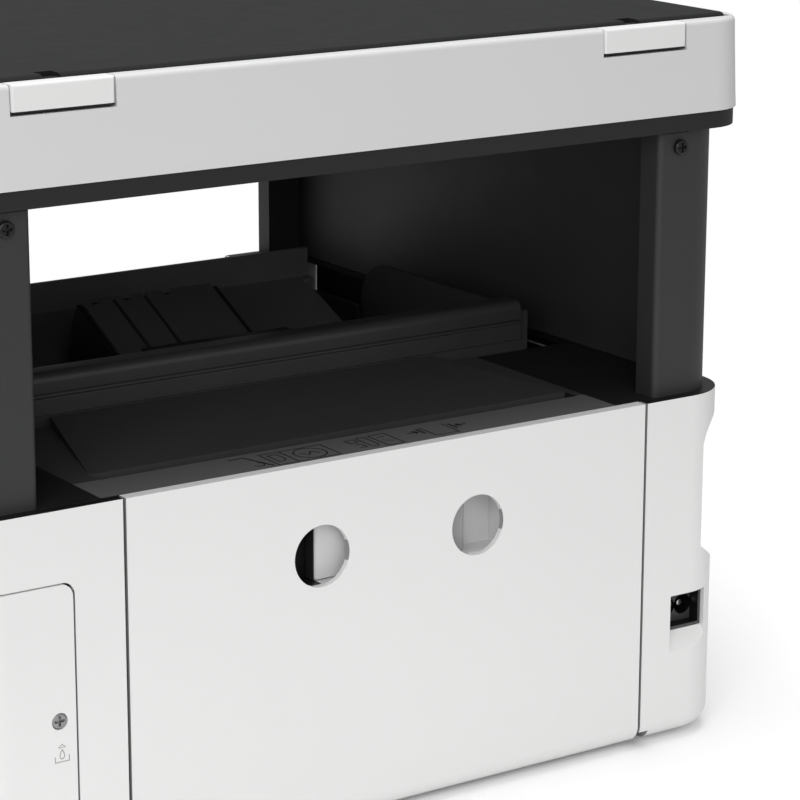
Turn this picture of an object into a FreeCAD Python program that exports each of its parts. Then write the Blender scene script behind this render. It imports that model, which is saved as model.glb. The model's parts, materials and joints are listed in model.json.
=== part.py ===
import FreeCAD, Part
import math
import os

# Multifunction inkjet printer seen as an assembly. Millimetres, +Z up, origin on the floor at the
# centre of the footprint. The front faces -Y, the rear with its feed slot faces +Y.

# Overall sizes
DEPTH = 347.0
BODY_WIDTH = 366.4
SCANNER_OVERHANG = 4.3
SCANNER_DRAFT = 1.5
BODY_TOP = 151.0
BODY_BOTTOM = 2.3
NECK_TOP = 261.0
SCANNER_BOTTOM = 262.2
SCANNER_SPLIT = 269.4
SCANNER_TOP = 306.5
LID_TOP = 307.6

# Shell sections
WALL = 2.5
BODY_REAR_RADIUS = 24.0
BODY_FRONT_RADIUS = 14.0
BODY_EDGE_ROUND = 8.0
SCANNER_REAR_RADIUS = 20.0
SCANNER_FRONT_RADIUS = 16.0
SCANNER_TOP_ROUND = 2.0
NECK_WALL = 3.0
NECK_INSET = 5.5
NECK_FLANGE_WIDTH = 35.7
NECK_POST_WIDTH = 20.7
NECK_FRONT_DEPTH = 10.0
NECK_RETURN = 12.0
SEAM = 1.2
FIT = 0.3
FLOOR_FLANGE = 14.0
BASE_FLOOR = 3.0
RUNNER_WIDTH = 8.0
RUNNING_FIT = 0.05

# Rear face
COVER_LEFT_GAP = 49.2
COVER_RIGHT_GAP = 73.2
COVER_RIM = 5.1
FINGER_HOLE_DIA = 25.0
FINGER_HOLE_X = (-49.3, 24.2)
FINGER_HOLE_Z = 113.7
LATCH_BOX_DEPTH = 14.0
LATCH_HEIGHT = 24.0
LATCH_LENGTH = 17.0
LATCH_THICKNESS = 7.0
LATCH_BOX_WALL = 2.0
DUPLEX_DEPTH = 22.5
DUPLEX_Z = 70.0
DUPLEX_RADIUS = 8.0
DUPLEX_ARM = 4.0
SERVICE_WIDTH = 51.2
SERVICE_TOP = 122.7
SERVICE_BOTTOM = 12.0
SERVICE_SIDE_LENGTH = 81.5
SERVICE_SCREW_INSET = 6.8
SERVICE_SCREW_Z = 70.2
SERVICE_BOX_DEPTH = 62.0
SERVICE_BOX_INSET = 22.0
SERVICE_BOX_DROP = 30.0
SERVICE_BOX_GAP = 13.0
SERVICE_WRAP = 40.0
SERVICE_CORNER = 5.0
INLET_CORNER_GAP = 13.6
INLET_WIDTH = 20.1
INLET_Z_MIN = 40.0
INLET_Z_MAX = 65.0
INLET_SOCKET_Z = 48.0
INLET_DEPTH = 22.0
INLET_RAMP = 4.5
SOCKET_DEPTH = 12.0
SOCKET_WALL = 1.2
SOCKET_LOBE = 4.4
SOCKET_PIN_RADIUS = 1.2
GRIP_DEPTH = 17.4
GRIP_LEDGE_Z = 71.5
GRIP_BACK_LOW_Z = 84.2
GRIP_BACK_HIGH_Z = 128.0
GRIP_TOP_Z = 139.6
LEFT_GRIP_LENGTH = 213.5
GRIP_ARC_IN = 0.27
GRIP_ARC_UP = 0.72
RIGHT_GRIP_REAR_GAP = 103.5
RIGHT_GRIP_LENGTH = 130.0
FOOT_NOTCH_WIDTH = 5.5
FOOT_NOTCH_Z = 7.0

# Rear feed
LIP_DEPTH = 26.5
SLOT_WIDTH = 8.0
LIP_THICKNESS = 3.0
CHUTE_LEFT_GAP = 16.0
CHUTE_RIGHT_GAP = 4.0
CHUTE_FLARE = 20.0
CHUTE_HIGH_Z = 155.0
CHUTE_PLATE = 2.0

# Print mechanism
FRAME_SIDE_GAP = 33.2
FRAME_SHEET = 2.0
FRAME_REAR_GAP = 105.5
FRAME_LENGTH = 130.0
FRAME_BOTTOM_Z = 66.0
FRAME_TOP_Z = 168.0
BEAM_LOW_Z = 100.0
BEAM_HIGH_Z = 155.0
RAIL_DEPTH = 16.0
RAIL_TOP_Z = 172.0
RAIL_BOTTOM_Z = 163.5
RAIL_GROOVE = 1.8
ROLLER_Z = 112.0
ROLLER_RADIUS = 7.5
ROLLER_SHAFT_RADIUS = 3.0
FEED_INSET = 15.0
NIP = 0.4
PINCH_RADIUS = 4.0
PINCH_SHAFT_RADIUS = 1.5
STAR_RADIUS = 4.0
STAR_TEETH = 12
STAR_THICKNESS = 1.2
STAR_SHAFT_RADIUS = 1.0
STAR_COUNT = 6
LUG_INSET = 6.0
LUG_WIDTH = 3.0
EXIT_BEAM_WIDTH = 18.0
EXIT_BEAM_HEIGHT = 5.0
GEAR_MODULE = 1.0
ROLLER_GEAR_TEETH = 40
IDLER_GEAR_TEETH = 53
PINION_TEETH = 14
GEAR_WIDTH = 6.0
GEAR_BACKLASH = 0.25
PLATEN_TOP_Z = 118.0
PLATEN_FEED_GAP = 12.0
PLATEN_EXIT_GAP = 11.0
PLATEN_LEFT_GAP = 25.0
PLATEN_RIGHT_GAP = 66.0
PLATEN_HEIGHT = 16.0
PLATEN_RIBS = 12
RIB_HEIGHT = 1.5
RIB_WIDTH = 2.0
BAR_INSET = 15.0
BAR_WIDTH = 8.0
CAP_STATION_GAP = 6.0
CAP_SEAT_WIDTH = 30.0
CAP_SEAT_GAP = 22.0
CAP_SEAT_INSET = 18.0
WIPER_THICKNESS = 1.5
CARRIAGE_X = -7.0
CARRIAGE_WIDTH = 70.0
CARRIAGE_RAIL_GAP = 23.0
CARRIAGE_LENGTH = 69.0
CARRIAGE_BOTTOM_Z = 124.0
CARRIAGE_TOP_Z = 159.0
HEAD_DROP = 4.0
STRIP_GAP = 2.5
STRIP_DROP = 12.0
STRIP_HEIGHT = 8.0
STRIP_THICKNESS = 0.5
HEAD_INSET = 12.0
CARRIAGE_CHAMFER = 3.0
SHOE_DEPTH = 4.0
SHOE_HEIGHT = 10.0
CLAMP_HALF = 8.0
STRAP_WIDTHS = (33.0, 13.4, 14.0)
STRAP_GAP = 1.8
STRAP_SIDE_GAP = 2.2
STRAP_THICKNESS = 2.0
STRAP_NOTCH = 4.0
STRAP_LENGTH = 39.0
STRAP_TILT = 26.0
STRAP_REAR_GAP = 25.0
STRAP_REAR_Z = 161.6
BELT_GAP = 1.5
BELT_WIDTH = 4.0
BELT_THICKNESS = 1.0
PULLEY_INSET = 14.0
PULLEY_Z = 136.0
PULLEY_RADIUS = 6.0
PULLEY_BORE = 1.5
MOTOR_RADIUS = 11.5
MOTOR_LENGTH = 30.0
FRONT_BEAM_GAP = 73.5
FRONT_BEAM_Z = 152.0
FRONT_BEAM_TOP_Z = 168.0
CEILING_GAP = 10.5
CEILING_REAR_Z = 133.0
BEAM_FOOT = 6.0

SUPPLY_INSET = 11.2
SUPPLY_WIDTH = 18.0
SUPPLY_GAP = 3.0
SUPPLY_TOP_Z = 70.0
SUPPLY_CORNER = 3.0
BOARD_STANDOFF = 6.0
BOARD_THICKNESS = 1.6
BOARD_POST_RADIUS = 2.0
BOARD_INSET = 17.0
BOARD_LENGTH = 95.0
BOARD_BOTTOM_Z = 72.0
BOARD_HEIGHT = 60.0
BOARD_CHIPS = ((0.27, 0.3, 22.0), (0.63, 0.47, 14.0), (0.63, 0.13, 10.0))

# Trays
CASSETTE_HALF = 118.0
CASSETTE_REAR_GAP = 41.5
CASSETTE_BOTTOM_Z = 10.0
CASSETTE_TOP_Z = 56.0
CASSETTE_FRONT_HALF = 126.0
CASSETTE_FRONT_TOP_Z = 61.0
CASSETTE_FLOOR = 3.0
CASSETTE_WALL = 3.0
GUIDE_HALF = 105.5
GUIDE_THICKNESS = 3.0
GUIDE_HEIGHT = 28.0
GUIDE_LENGTH = 70.0
RACK_PITCH_RADIUS = 8.0
GUIDE_TEETH = 16
RACK_LENGTH = 62.0
RACK_END_X = 7.0
RACK_HEIGHT = 4.0
RACK_BACK = 4.0
GUIDE_Y = 20.0
END_GUIDE_GAP = 38.5
END_GUIDE_HALF = 22.0
END_GUIDE_HEIGHT = 26.0
END_GUIDE_FOOT = 14.0
END_GUIDE_CORNER = 6.0
SHELF_Z = 64.0
SHELF_THICKNESS = 3.0
SHELF_FRAME_LAP = 10.0
OUTPUT_HALF = 112.0
OUTPUT_SETBACK = 5.5
OUTPUT_LENGTH = 110.0
OUTPUT_THICKNESS = 9.0
EXTENSION_HALF = 45.0
EXTENSION_THICKNESS = 3.0
EXTENSION_LENGTH = 95.0
FRONT_WINDOW_GAP = 10.0
FRONT_DEPTH = 22.0

# Control panel
PANEL_GAP = 2.0
PANEL_LOW_Z = 206.0
PANEL_HIGH_Z = 258.0
PANEL_THICKNESS = 12.0
PANEL_PIVOT_DROP = 6.0
PANEL_PIN_RADIUS = 3.0
DISPLAY_WIDTH = 62.0
DISPLAY_HEIGHT = 36.0
BUTTON_RADIUS = 7.0
BUTTON_TRAVEL = 1.5
PANEL_SETBACK = 4.0
BUTTON_X = (-95.0, 85.0)

# Ink tanks
TANK_FRAME_GAP = 3.0
TANK_SIDE_GAP = 12.2
TANK_FRONT_GAP = 35.5
TANK_REAR_GAP = 4.0
TANK_TOP_Z = 139.0
TANK_COUNT = 4
CAP_HEIGHT = 8.0
TANK_COVER_THICKNESS = 2.5
TANK_PIN_RADIUS = 1.5

# Scanner and lid
RIM = 6.2
GLASS_HALF_X = 155.0
GLASS_HALF_Y = 112.0
GLASS_THICKNESS = 3.0
DECK_TOP_Z = 298.0
DECK_THICKNESS = 4.0
LID_GAP = 0.6
LID_CORNER = 6.0
WELL_CORNER = 1.5
PAD_THICKNESS = 0.9
HINGE_COVER_INSET = 37.0
HINGE_COVER_WIDTH = 41.0
HINGE_COVER_Z = 296.0
HINGE_COVER_PROUD = 0.5
HINGE_LUG_WIDTH = 6.0
HINGE_PIN_RADIUS = 1.6
HINGE_PIN_REACH = 8.0
SCANNER_PIVOT_INSET = 5.5
SCANNER_PIVOT_Z = 265.4
SCANNER_LUG_RADIUS = 3.0
SCANNER_LUG_INSET = 17.7
SCANNER_LUG_WIDTH = 6.0
SCANNER_PIN_RADIUS = 1.5
SCAN_BAR_WIDTH = 14.0
SCAN_BAR_HEIGHT = 12.0
SCAN_HOME_GAP = 15.0
SCAN_ROD_RADIUS = 3.0
SCAN_ROD_Z = 276.0

# Feet and fasteners
FOOT_RADIUS = 9.0
FOOT_SIDE_GAP = 33.2
FOOT_REAR_GAP = 33.5
SCREW_RADIUS = 3.2
SCREW_HEAD = 2.0
SCREW_SHANK = 1.5
SCREW_LENGTH = 8.0
PILLAR_SCREW_Z = 255.2
PILLAR_SCREW_INSET = 25.4

# Sizes that follow from those above
SCANNER_WIDTH = BODY_WIDTH + 2 * SCANNER_OVERHANG
BODY_HALF = BODY_WIDTH / 2
NECK_HALF = BODY_HALF - NECK_INSET
NECK_OPENING_HALF = NECK_HALF - NECK_FLANGE_WIDTH
COVER_X_MIN = -BODY_HALF + COVER_LEFT_GAP
COVER_X_MAX = BODY_HALF - COVER_RIGHT_GAP
SERVICE_X_MIN = BODY_HALF - SERVICE_WIDTH
REAR_Y = DEPTH / 2
SERVICE_SIDE_Y = REAR_Y - SERVICE_SIDE_LENGTH
SERVICE_SCREW_X = SERVICE_X_MIN + SERVICE_SCREW_INSET
INLET_X_MIN = -BODY_HALF + INLET_CORNER_GAP
INLET_X_MAX = INLET_X_MIN + INLET_WIDTH
RIGHT_GRIP_REAR_Y = REAR_Y - RIGHT_GRIP_REAR_GAP
RIGHT_GRIP_FRONT_Y = RIGHT_GRIP_REAR_Y - RIGHT_GRIP_LENGTH
GRIP_FRONT_Y = REAR_Y - LEFT_GRIP_LENGTH
FOOT_NOTCH_X = (COVER_X_MIN - FOOT_NOTCH_WIDTH, COVER_X_MIN)
LIP_FRONT_Y = REAR_Y - LIP_DEPTH
CHUTE_X_MIN = COVER_X_MIN + CHUTE_LEFT_GAP
CHUTE_X_MAX = COVER_X_MAX - CHUTE_RIGHT_GAP
FRAME_REAR_Y = REAR_Y - FRAME_REAR_GAP
FRAME_FRONT_Y = FRAME_REAR_Y - FRAME_LENGTH
RAIL_FRONT_Y = FRAME_REAR_Y - RAIL_DEPTH
FEED_Y = FRAME_REAR_Y - FEED_INSET
EXIT_Y = FEED_Y - GEAR_MODULE * (ROLLER_GEAR_TEETH + IDLER_GEAR_TEETH)
PLATEN_REAR_Y = FEED_Y - PLATEN_FEED_GAP
PLATEN_FRONT_Y = EXIT_Y + PLATEN_EXIT_GAP
FRAME_HALF = BODY_HALF - FRAME_SIDE_GAP
PLATEN_X_MIN = -FRAME_HALF + PLATEN_LEFT_GAP
PLATEN_X_MAX = FRAME_HALF - PLATEN_RIGHT_GAP
CARRIAGE_REAR_Y = FRAME_REAR_Y - CARRIAGE_RAIL_GAP
CARRIAGE_FRONT_Y = CARRIAGE_REAR_Y - CARRIAGE_LENGTH
STRAP_REAR_Y = CARRIAGE_REAR_Y - STRAP_REAR_GAP
STRAP_RIGHT_X = CARRIAGE_X + CARRIAGE_WIDTH / 2 - STRAP_SIDE_GAP
BELT_Y = CARRIAGE_REAR_Y + BELT_GAP
FRONT_Y = -DEPTH / 2
FRONT_BEAM_Y = FRONT_Y + FRONT_BEAM_GAP
CEILING_REAR_Y = EXIT_Y - CEILING_GAP
BOARD_FRONT_Y = FRAME_FRONT_Y + BOARD_INSET
BOARD_REAR_Y = BOARD_FRONT_Y + BOARD_LENGTH
CASSETTE_REAR_Y = REAR_Y - CASSETTE_REAR_GAP
END_GUIDE_Y = FRONT_Y + END_GUIDE_GAP
SHELF_REAR_Y = FRAME_FRONT_Y + SHELF_FRAME_LAP
OUTPUT_FRONT_Y = FRONT_Y + OUTPUT_SETBACK
FRONT_WINDOW_HALF = FRAME_HALF - FRONT_WINDOW_GAP
TANK_X_MIN = FRAME_HALF + FRAME_SHEET / 2 + TANK_FRAME_GAP
TANK_X_MAX = BODY_HALF - TANK_SIDE_GAP
TANK_REAR_Y = FRAME_FRONT_Y - TANK_REAR_GAP
TANK_FRONT_Y = FRONT_Y + TANK_FRONT_GAP
CAP_RADIUS = (TANK_REAR_Y - TANK_FRONT_Y) / TANK_COUNT / 3
SCANNER_HALF = SCANNER_WIDTH / 2
HINGE_COVER_X = (SCANNER_HALF - HINGE_COVER_INSET - HINGE_COVER_WIDTH,
                 SCANNER_HALF - HINGE_COVER_INSET)
SCANNER_PIVOT_Y = REAR_Y - SCANNER_PIVOT_INSET
SCANNER_LUG_X = NECK_HALF - SCANNER_LUG_INSET
SCAN_HOME_X = -GLASS_HALF_X + SCAN_HOME_GAP
FOOT_X = BODY_HALF - FOOT_SIDE_GAP
FOOT_Y = REAR_Y - FOOT_REAR_GAP
PILLAR_SCREW_X = NECK_HALF - PILLAR_SCREW_INSET
NECK_REAR_Y = REAR_Y - NECK_INSET
NECK_FRONT_HALF = NECK_HALF - NECK_POST_WIDTH
PANEL_HALF = NECK_FRONT_HALF - PANEL_GAP
PULLEY_X = FRAME_HALF - PULLEY_INSET
FASCIA_REAR_Y = FRONT_Y + FRONT_DEPTH
PANEL_FRONT_Y = FRONT_Y + PANEL_SETBACK
PANEL_PIVOT_Y = PANEL_FRONT_Y + PANEL_THICKNESS / 2
PANEL_PIVOT_Z = PANEL_HIGH_Z - PANEL_PIVOT_DROP
SLOT_FRONT_Y = LIP_FRONT_Y - SLOT_WIDTH
LID_THICKNESS = LID_TOP - DECK_TOP_Z - PAD_THICKNESS - FIT
LID_BOTTOM_Z = LID_TOP - LID_THICKNESS
LID_HALF = SCANNER_HALF - SCANNER_DRAFT - RIM - LID_GAP
LID_REAR_Y = REAR_Y - SCANNER_DRAFT - RIM - LID_GAP
LID_PIVOT_Y = LID_REAR_Y - LID_THICKNESS / 2
LID_PIVOT_Z = LID_BOTTOM_Z + LID_THICKNESS / 2
RIM_FLANGE = NECK_INSET + NECK_WALL + 2.0
BASE_FLOOR_BOTTOM = BODY_BOTTOM + WALL
BASE_FLOOR_TOP = BASE_FLOOR_BOTTOM + BASE_FLOOR
RUNNER_X = CASSETTE_HALF - 8.0
COVER_X0 = COVER_X_MIN + SEAM / 2
COVER_X1 = COVER_X_MAX - SEAM / 2
COVER_BACK_Y = REAR_Y - WALL
LATCH_BACK_Y = COVER_BACK_Y - LATCH_BOX_DEPTH
LATCH_BOX_HALF = LATCH_HEIGHT / 2 + FIT
LATCH_BOX_END = FINGER_HOLE_DIA / 2 + 3.0
DUPLEX_Y = REAR_Y - DUPLEX_DEPTH
DUPLEX_ARM_X = (COVER_X0 + 18, COVER_X1 - 18)
DECK_FRONT_Y = FRAME_REAR_Y + 2.0
DECK_Z = BODY_TOP - LIP_THICKNESS
GUIDE_END_Y = FEED_Y + ROLLER_RADIUS + 14.0
GUIDE_END_Z = ROLLER_Z + ROLLER_RADIUS
FRAME_INNER = FRAME_HALF - FRAME_SHEET / 2
FRAME_OUTER = FRAME_HALF + FRAME_SHEET / 2
PINCH_Z = ROLLER_Z + ROLLER_RADIUS + NIP + PINCH_RADIUS
STAR_Z = ROLLER_Z + ROLLER_RADIUS + NIP + STAR_RADIUS
IDLER_Y = FEED_Y - GEAR_MODULE * (ROLLER_GEAR_TEETH + IDLER_GEAR_TEETH) / 2
PINION_Z = ROLLER_Z - GEAR_MODULE * (ROLLER_GEAR_TEETH + PINION_TEETH) / 2
GEAR_X1 = -FRAME_OUTER - 0.8
GEAR_X0 = GEAR_X1 - GEAR_WIDTH
LUG_PITCH = 2 * (FRAME_INNER - LUG_INSET) / STAR_COUNT
CARRIAGE_X0 = CARRIAGE_X - CARRIAGE_WIDTH / 2
CARRIAGE_X1 = CARRIAGE_X + CARRIAGE_WIDTH / 2
CASSETTE_BOX_FRONT_Y = FRONT_Y + 14.0
CASSETTE_FLOOR_TOP = CASSETTE_BOTTOM_Z + CASSETTE_FLOOR
GUIDE_MODULE = 2 * RACK_PITCH_RADIUS / GUIDE_TEETH
OUTPUT_BOTTOM_Z = SHELF_Z + SHELF_THICKNESS + FIT
EXTENSION_Z = OUTPUT_BOTTOM_Z + 2.0
PANEL_MID_Z = (PANEL_LOW_Z + PANEL_PIVOT_Z) / 2
TANK_PIVOT_Y = TANK_REAR_Y - 3.3
TANK_PIVOT_Z = BODY_TOP + 2.0
HINGE_LUG_X = (HINGE_COVER_X[0] + HINGE_COVER_X[1]) / 2


def vec(x, y, z):
    return FreeCAD.Vector(x, y, z)


def block(x0, x1, y0, y1, z0, z1):
    """A box between two corners."""
    return Part.makeBox(x1 - x0, y1 - y0, z1 - z0, vec(x0, y0, z0))


def rod(start, axis, length, radius):
    """A round bar from a start point along an axis."""
    return Part.makeCylinder(radius, length, vec(*start), vec(*axis))


def rod_x(x0, x1, y, z, radius):
    return rod((x0, y, z), (1, 0, 0), x1 - x0, radius)


def rod_y(y0, y1, x, z, radius):
    return rod((x, y0, z), (0, 1, 0), y1 - y0, radius)


def rod_z(z0, z1, x, y, radius):
    return rod((x, y, z0), (0, 0, 1), z1 - z0, radius)


def fuse(shapes):
    """Join overlapping or touching solids into one clean solid."""
    first, *others = shapes
    return first.fuse(others).removeSplitter() if others else first


def mirror_x(shape):
    """The same piece on the other side of the centre plane."""
    return shape.mirror(vec(0, 0, 0), vec(1, 0, 0))


def section_x(points, x0, x1):
    """Extrude a closed outline of (y, z) points along X."""
    wire = Part.makePolygon([vec(x0, y, z) for y, z in points + points[:1]])
    return Part.Face(wire).extrude(vec(x1 - x0, 0, 0))


def section_y(points, y0, y1):
    """Extrude a closed outline of (x, z) points along Y."""
    wire = Part.makePolygon([vec(x, y0, z) for x, z in points + points[:1]])
    return Part.Face(wire).extrude(vec(0, y1 - y0, 0))


def section_z(points, z0, z1):
    """Extrude a closed outline of (x, y) points along Z."""
    wire = Part.makePolygon([vec(x, y, z0) for x, y in points + points[:1]])
    return Part.Face(wire).extrude(vec(0, 0, z1 - z0))


def corner_arc(centre, radius, start_deg):
    """A quarter circle in plan, counter-clockwise from a start angle."""
    points = []
    for step in range(3):
        angle = math.radians(start_deg + 45 * step)
        points.append(centre + vec(radius * math.cos(angle), radius * math.sin(angle), 0))
    return Part.Arc(*points).toShape(), points[0], points[2]


def round_plan(half, front_y, rear_y, front_radius, rear_radius, z0, z1):
    """An upright block with a rounded plan, as the housings have."""
    corners = [
        (vec(half - rear_radius, rear_y - rear_radius, z0), rear_radius, 0),
        (vec(-half + rear_radius, rear_y - rear_radius, z0), rear_radius, 90),
        (vec(-half + front_radius, front_y + front_radius, z0), front_radius, 180),
        (vec(half - front_radius, front_y + front_radius, z0), front_radius, 270),
    ]
    arcs = [corner_arc(*corner) for corner in corners]
    edges = []
    for (arc, start, end), (_, next_start, _) in zip(arcs, arcs[1:] + arcs[:1]):
        edges.append(arc)
        edges.append(Part.makeLine(end, next_start))
    return Part.Face(Part.Wire(edges)).extrude(vec(0, 0, z1 - z0))


def edges_at_z(shape, z):
    """The edges of a shape that lie flat at one height."""
    return [e for e in shape.Edges if abs(e.BoundBox.ZMin - z) < 1e-6 and abs(e.BoundBox.ZMax - z) < 1e-6]


def gear_x(x0, x1, y, z, teeth, bore, phase=0.0):
    """A spur gear on an axis along X, with trapezoid teeth thinned by the backlash."""
    pitch = GEAR_MODULE * teeth / 2
    tip = pitch + 0.9 * GEAR_MODULE
    root = pitch - 1.15 * GEAR_MODULE
    step = 2 * math.pi / teeth
    thin = GEAR_BACKLASH / pitch / 2
    outline = []
    for tooth in range(teeth):
        middle = step * tooth + phase
        for radius, share in ((root, -0.34), (tip, -0.13), (tip, 0.13), (root, 0.34)):
            angle = middle + share * step - math.copysign(thin, share)
            outline.append((y + radius * math.cos(angle), z + radius * math.sin(angle)))
    gear = section_x(outline, x0, x1)
    return gear.cut(rod_x(x0 - 1, x1 + 1, y, z, bore)) if bore else gear


def save(name, shape):
    shape.exportStep("parts/" + name + ".step")


def body_outer(inset=0.0):
    """The lower body's outer form, or the same form set in by a wall."""
    low = BODY_BOTTOM + inset
    solid = round_plan(BODY_HALF - inset, FRONT_Y + inset, REAR_Y - inset,
                       BODY_FRONT_RADIUS - inset, BODY_REAR_RADIUS - inset, low, BODY_TOP)
    return solid.makeFillet(BODY_EDGE_ROUND - inset, edges_at_z(solid, low))


def body_plan(inset, z0, z1):
    """An upright block on the lower body's plan, set in evenly."""
    return round_plan(BODY_HALF - inset, FRONT_Y + inset, REAR_Y - inset,
                      max(BODY_FRONT_RADIUS - inset, 1.0), max(BODY_REAR_RADIUS - inset, 1.0), z0, z1)


def deck_opening(gap, z0, z1):
    """The opening inside the top rim: narrow rim along the rear, wide under the neck walls."""
    rear_half = BODY_HALF - BODY_REAR_RADIUS - gap
    rear = block(-rear_half, rear_half, 0, REAR_Y - COVER_RIM - gap, z0, z1)
    return body_plan(RIM_FLANGE + gap, z0, z1).fuse(rear).removeSplitter()


def body_shell():
    """The whole lower wall with its top rim and bottom flange, before it is split into covers."""
    walls = body_outer().cut(body_outer(WALL))
    rim = body_plan(WALL / 2, BODY_TOP - WALL, BODY_TOP).cut(deck_opening(0, BODY_TOP - 2 * WALL, BODY_TOP))
    hole = body_plan(FLOOR_FLANGE, BODY_BOTTOM - 1, BODY_BOTTOM + WALL + 1)
    return walls.fuse(rim).removeSplitter().cut(hole)


def grip_cut(side_gap, front_y, rear_y):
    """The hand grip's hollow on the -X side: a sloped ledge, an upright back and a concave top."""
    face_x = -BODY_HALF - 1
    back_x = -BODY_HALF + GRIP_DEPTH + side_gap
    ledge_out = vec(face_x, front_y, GRIP_LEDGE_Z - side_gap)
    ledge_in = vec(back_x, front_y, GRIP_BACK_LOW_Z - side_gap)
    arc_low = vec(back_x, front_y, GRIP_BACK_HIGH_Z)
    arc_rise = GRIP_TOP_Z + side_gap - GRIP_BACK_HIGH_Z
    arc_mid = vec(back_x - GRIP_ARC_IN * GRIP_DEPTH, front_y, GRIP_BACK_HIGH_Z + GRIP_ARC_UP * arc_rise)
    arc_high = vec(face_x, front_y, GRIP_TOP_Z + side_gap)
    edges = [Part.makeLine(ledge_out, ledge_in), Part.makeLine(ledge_in, arc_low),
             Part.Arc(arc_low, arc_mid, arc_high).toShape(), Part.makeLine(arc_high, ledge_out)]
    return Part.Face(Part.Wire(edges)).extrude(vec(0, rear_y - front_y, 0))


def inlet_recess(grow):
    """The pocket round the power socket, open to the rear and over the corner, with a ramp below."""
    back_y = REAR_Y - INLET_DEPTH - grow
    outline = [(back_y, INLET_SOCKET_Z - grow), (back_y, INLET_Z_MAX + grow),
               (REAR_Y + 1, INLET_Z_MAX + grow),
               (REAR_Y + 1, INLET_Z_MIN - grow), (REAR_Y, INLET_Z_MIN - grow),
               (REAR_Y - INLET_RAMP, INLET_SOCKET_Z - grow)]
    return section_x(outline, INLET_X_MIN - grow, INLET_X_MAX + grow)


def left_side_shell():
    span = block(-BODY_HALF - 1, COVER_X_MIN - SEAM / 2, FASCIA_REAR_Y + SEAM / 2, REAR_Y + 1, 0,
                 BODY_TOP + 1)
    outer = body_outer()
    backing = grip_cut(WALL, GRIP_FRONT_Y - WALL, REAR_Y + 1).fuse(inlet_recess(WALL)).common(outer)
    hollow = grip_cut(0, GRIP_FRONT_Y, REAR_Y + 2)
    notch = block(FOOT_NOTCH_X[0], FOOT_NOTCH_X[1], REAR_Y - FLOOR_FLANGE - 1, REAR_Y + 1, 0, FOOT_NOTCH_Z)
    shell = body_shell().fuse(backing).cut(hollow).cut(inlet_recess(0)).cut(notch)
    return shell.common(span).removeSplitter()


def service_region(gap):
    """The lower rear corner on the +X side that the maintenance cover closes."""
    low = SERVICE_BOTTOM - gap
    high = SERVICE_TOP + gap
    rear = block(SERVICE_X_MIN - gap, BODY_HALF + 1, REAR_Y - SERVICE_WRAP, REAR_Y + 1, low, high)
    side = block(BODY_HALF - SERVICE_WRAP / 4, BODY_HALF + 1, SERVICE_SIDE_Y - gap, REAR_Y, low, high)
    region = rear.fuse(side).removeSplitter()
    corner = [e for e in region.Edges if e.BoundBox.YLength > SERVICE_WRAP
              and e.BoundBox.XMax < SERVICE_X_MIN + 1]
    return region.makeFillet(SERVICE_CORNER, corner)


def right_side_shell():
    span = block(COVER_X_MAX + SEAM / 2, BODY_HALF + 1, FASCIA_REAR_Y + SEAM / 2, REAR_Y + 1, 0,
                 BODY_TOP + 1)
    backing = mirror_x(grip_cut(WALL, RIGHT_GRIP_FRONT_Y - WALL,
                                RIGHT_GRIP_REAR_Y + WALL)).common(body_outer())
    hollow = mirror_x(grip_cut(0, RIGHT_GRIP_FRONT_Y, RIGHT_GRIP_REAR_Y))
    shell = body_shell().fuse(backing).cut(hollow).cut(service_region(SEAM / 2))
    boss = rod_y(REAR_Y - WALL - SCREW_LENGTH, REAR_Y - 2 * WALL - FIT, SERVICE_SCREW_X, SERVICE_SCREW_Z,
                 SCREW_RADIUS)
    strip_x = COVER_X_MAX + WALL
    web = block(strip_x, SERVICE_SCREW_X, boss.BoundBox.YMin, boss.BoundBox.YMax,
                SERVICE_SCREW_Z - SCREW_RADIUS, SERVICE_SCREW_Z + SCREW_RADIUS)
    post = block(strip_x, strip_x + WALL, boss.BoundBox.YMin, REAR_Y - WALL / 2,
                 SERVICE_SCREW_Z - SCREW_RADIUS, SERVICE_SCREW_Z + SCREW_RADIUS)
    hole = rod_y(0, REAR_Y, SERVICE_SCREW_X, SERVICE_SCREW_Z, SCREW_SHANK + RUNNING_FIT)
    return fuse([shell.common(span), boss, web, post]).cut(hole)


def maintenance_cover():
    """The screwed cover on the rear corner, with a sunk seat for its screw."""
    plate = body_outer().cut(body_outer(WALL)).common(service_region(0))
    seat = rod_y(REAR_Y - 2 * WALL, REAR_Y - WALL / 2, SERVICE_SCREW_X, SERVICE_SCREW_Z, SCREW_RADIUS + 2)
    well = rod_y(REAR_Y - WALL, REAR_Y + 1, SERVICE_SCREW_X, SERVICE_SCREW_Z, SCREW_RADIUS + RUNNING_FIT)
    hole = rod_y(0, REAR_Y, SERVICE_SCREW_X, SERVICE_SCREW_Z, SCREW_SHANK + RUNNING_FIT)
    return fuse([plate, seat]).cut(well).cut(hole)


def maintenance_box():
    """The waste ink box that stands on the base behind its cover."""
    rear_y = REAR_Y - SERVICE_BOX_GAP
    outer = block(SERVICE_X_MIN + SERVICE_BOX_INSET, BODY_HALF, rear_y - SERVICE_BOX_DEPTH, rear_y,
                  BASE_FLOOR_TOP, SERVICE_TOP - SERVICE_BOX_DROP)
    return outer.common(body_plan(2 * WALL, 0, BODY_TOP))


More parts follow.
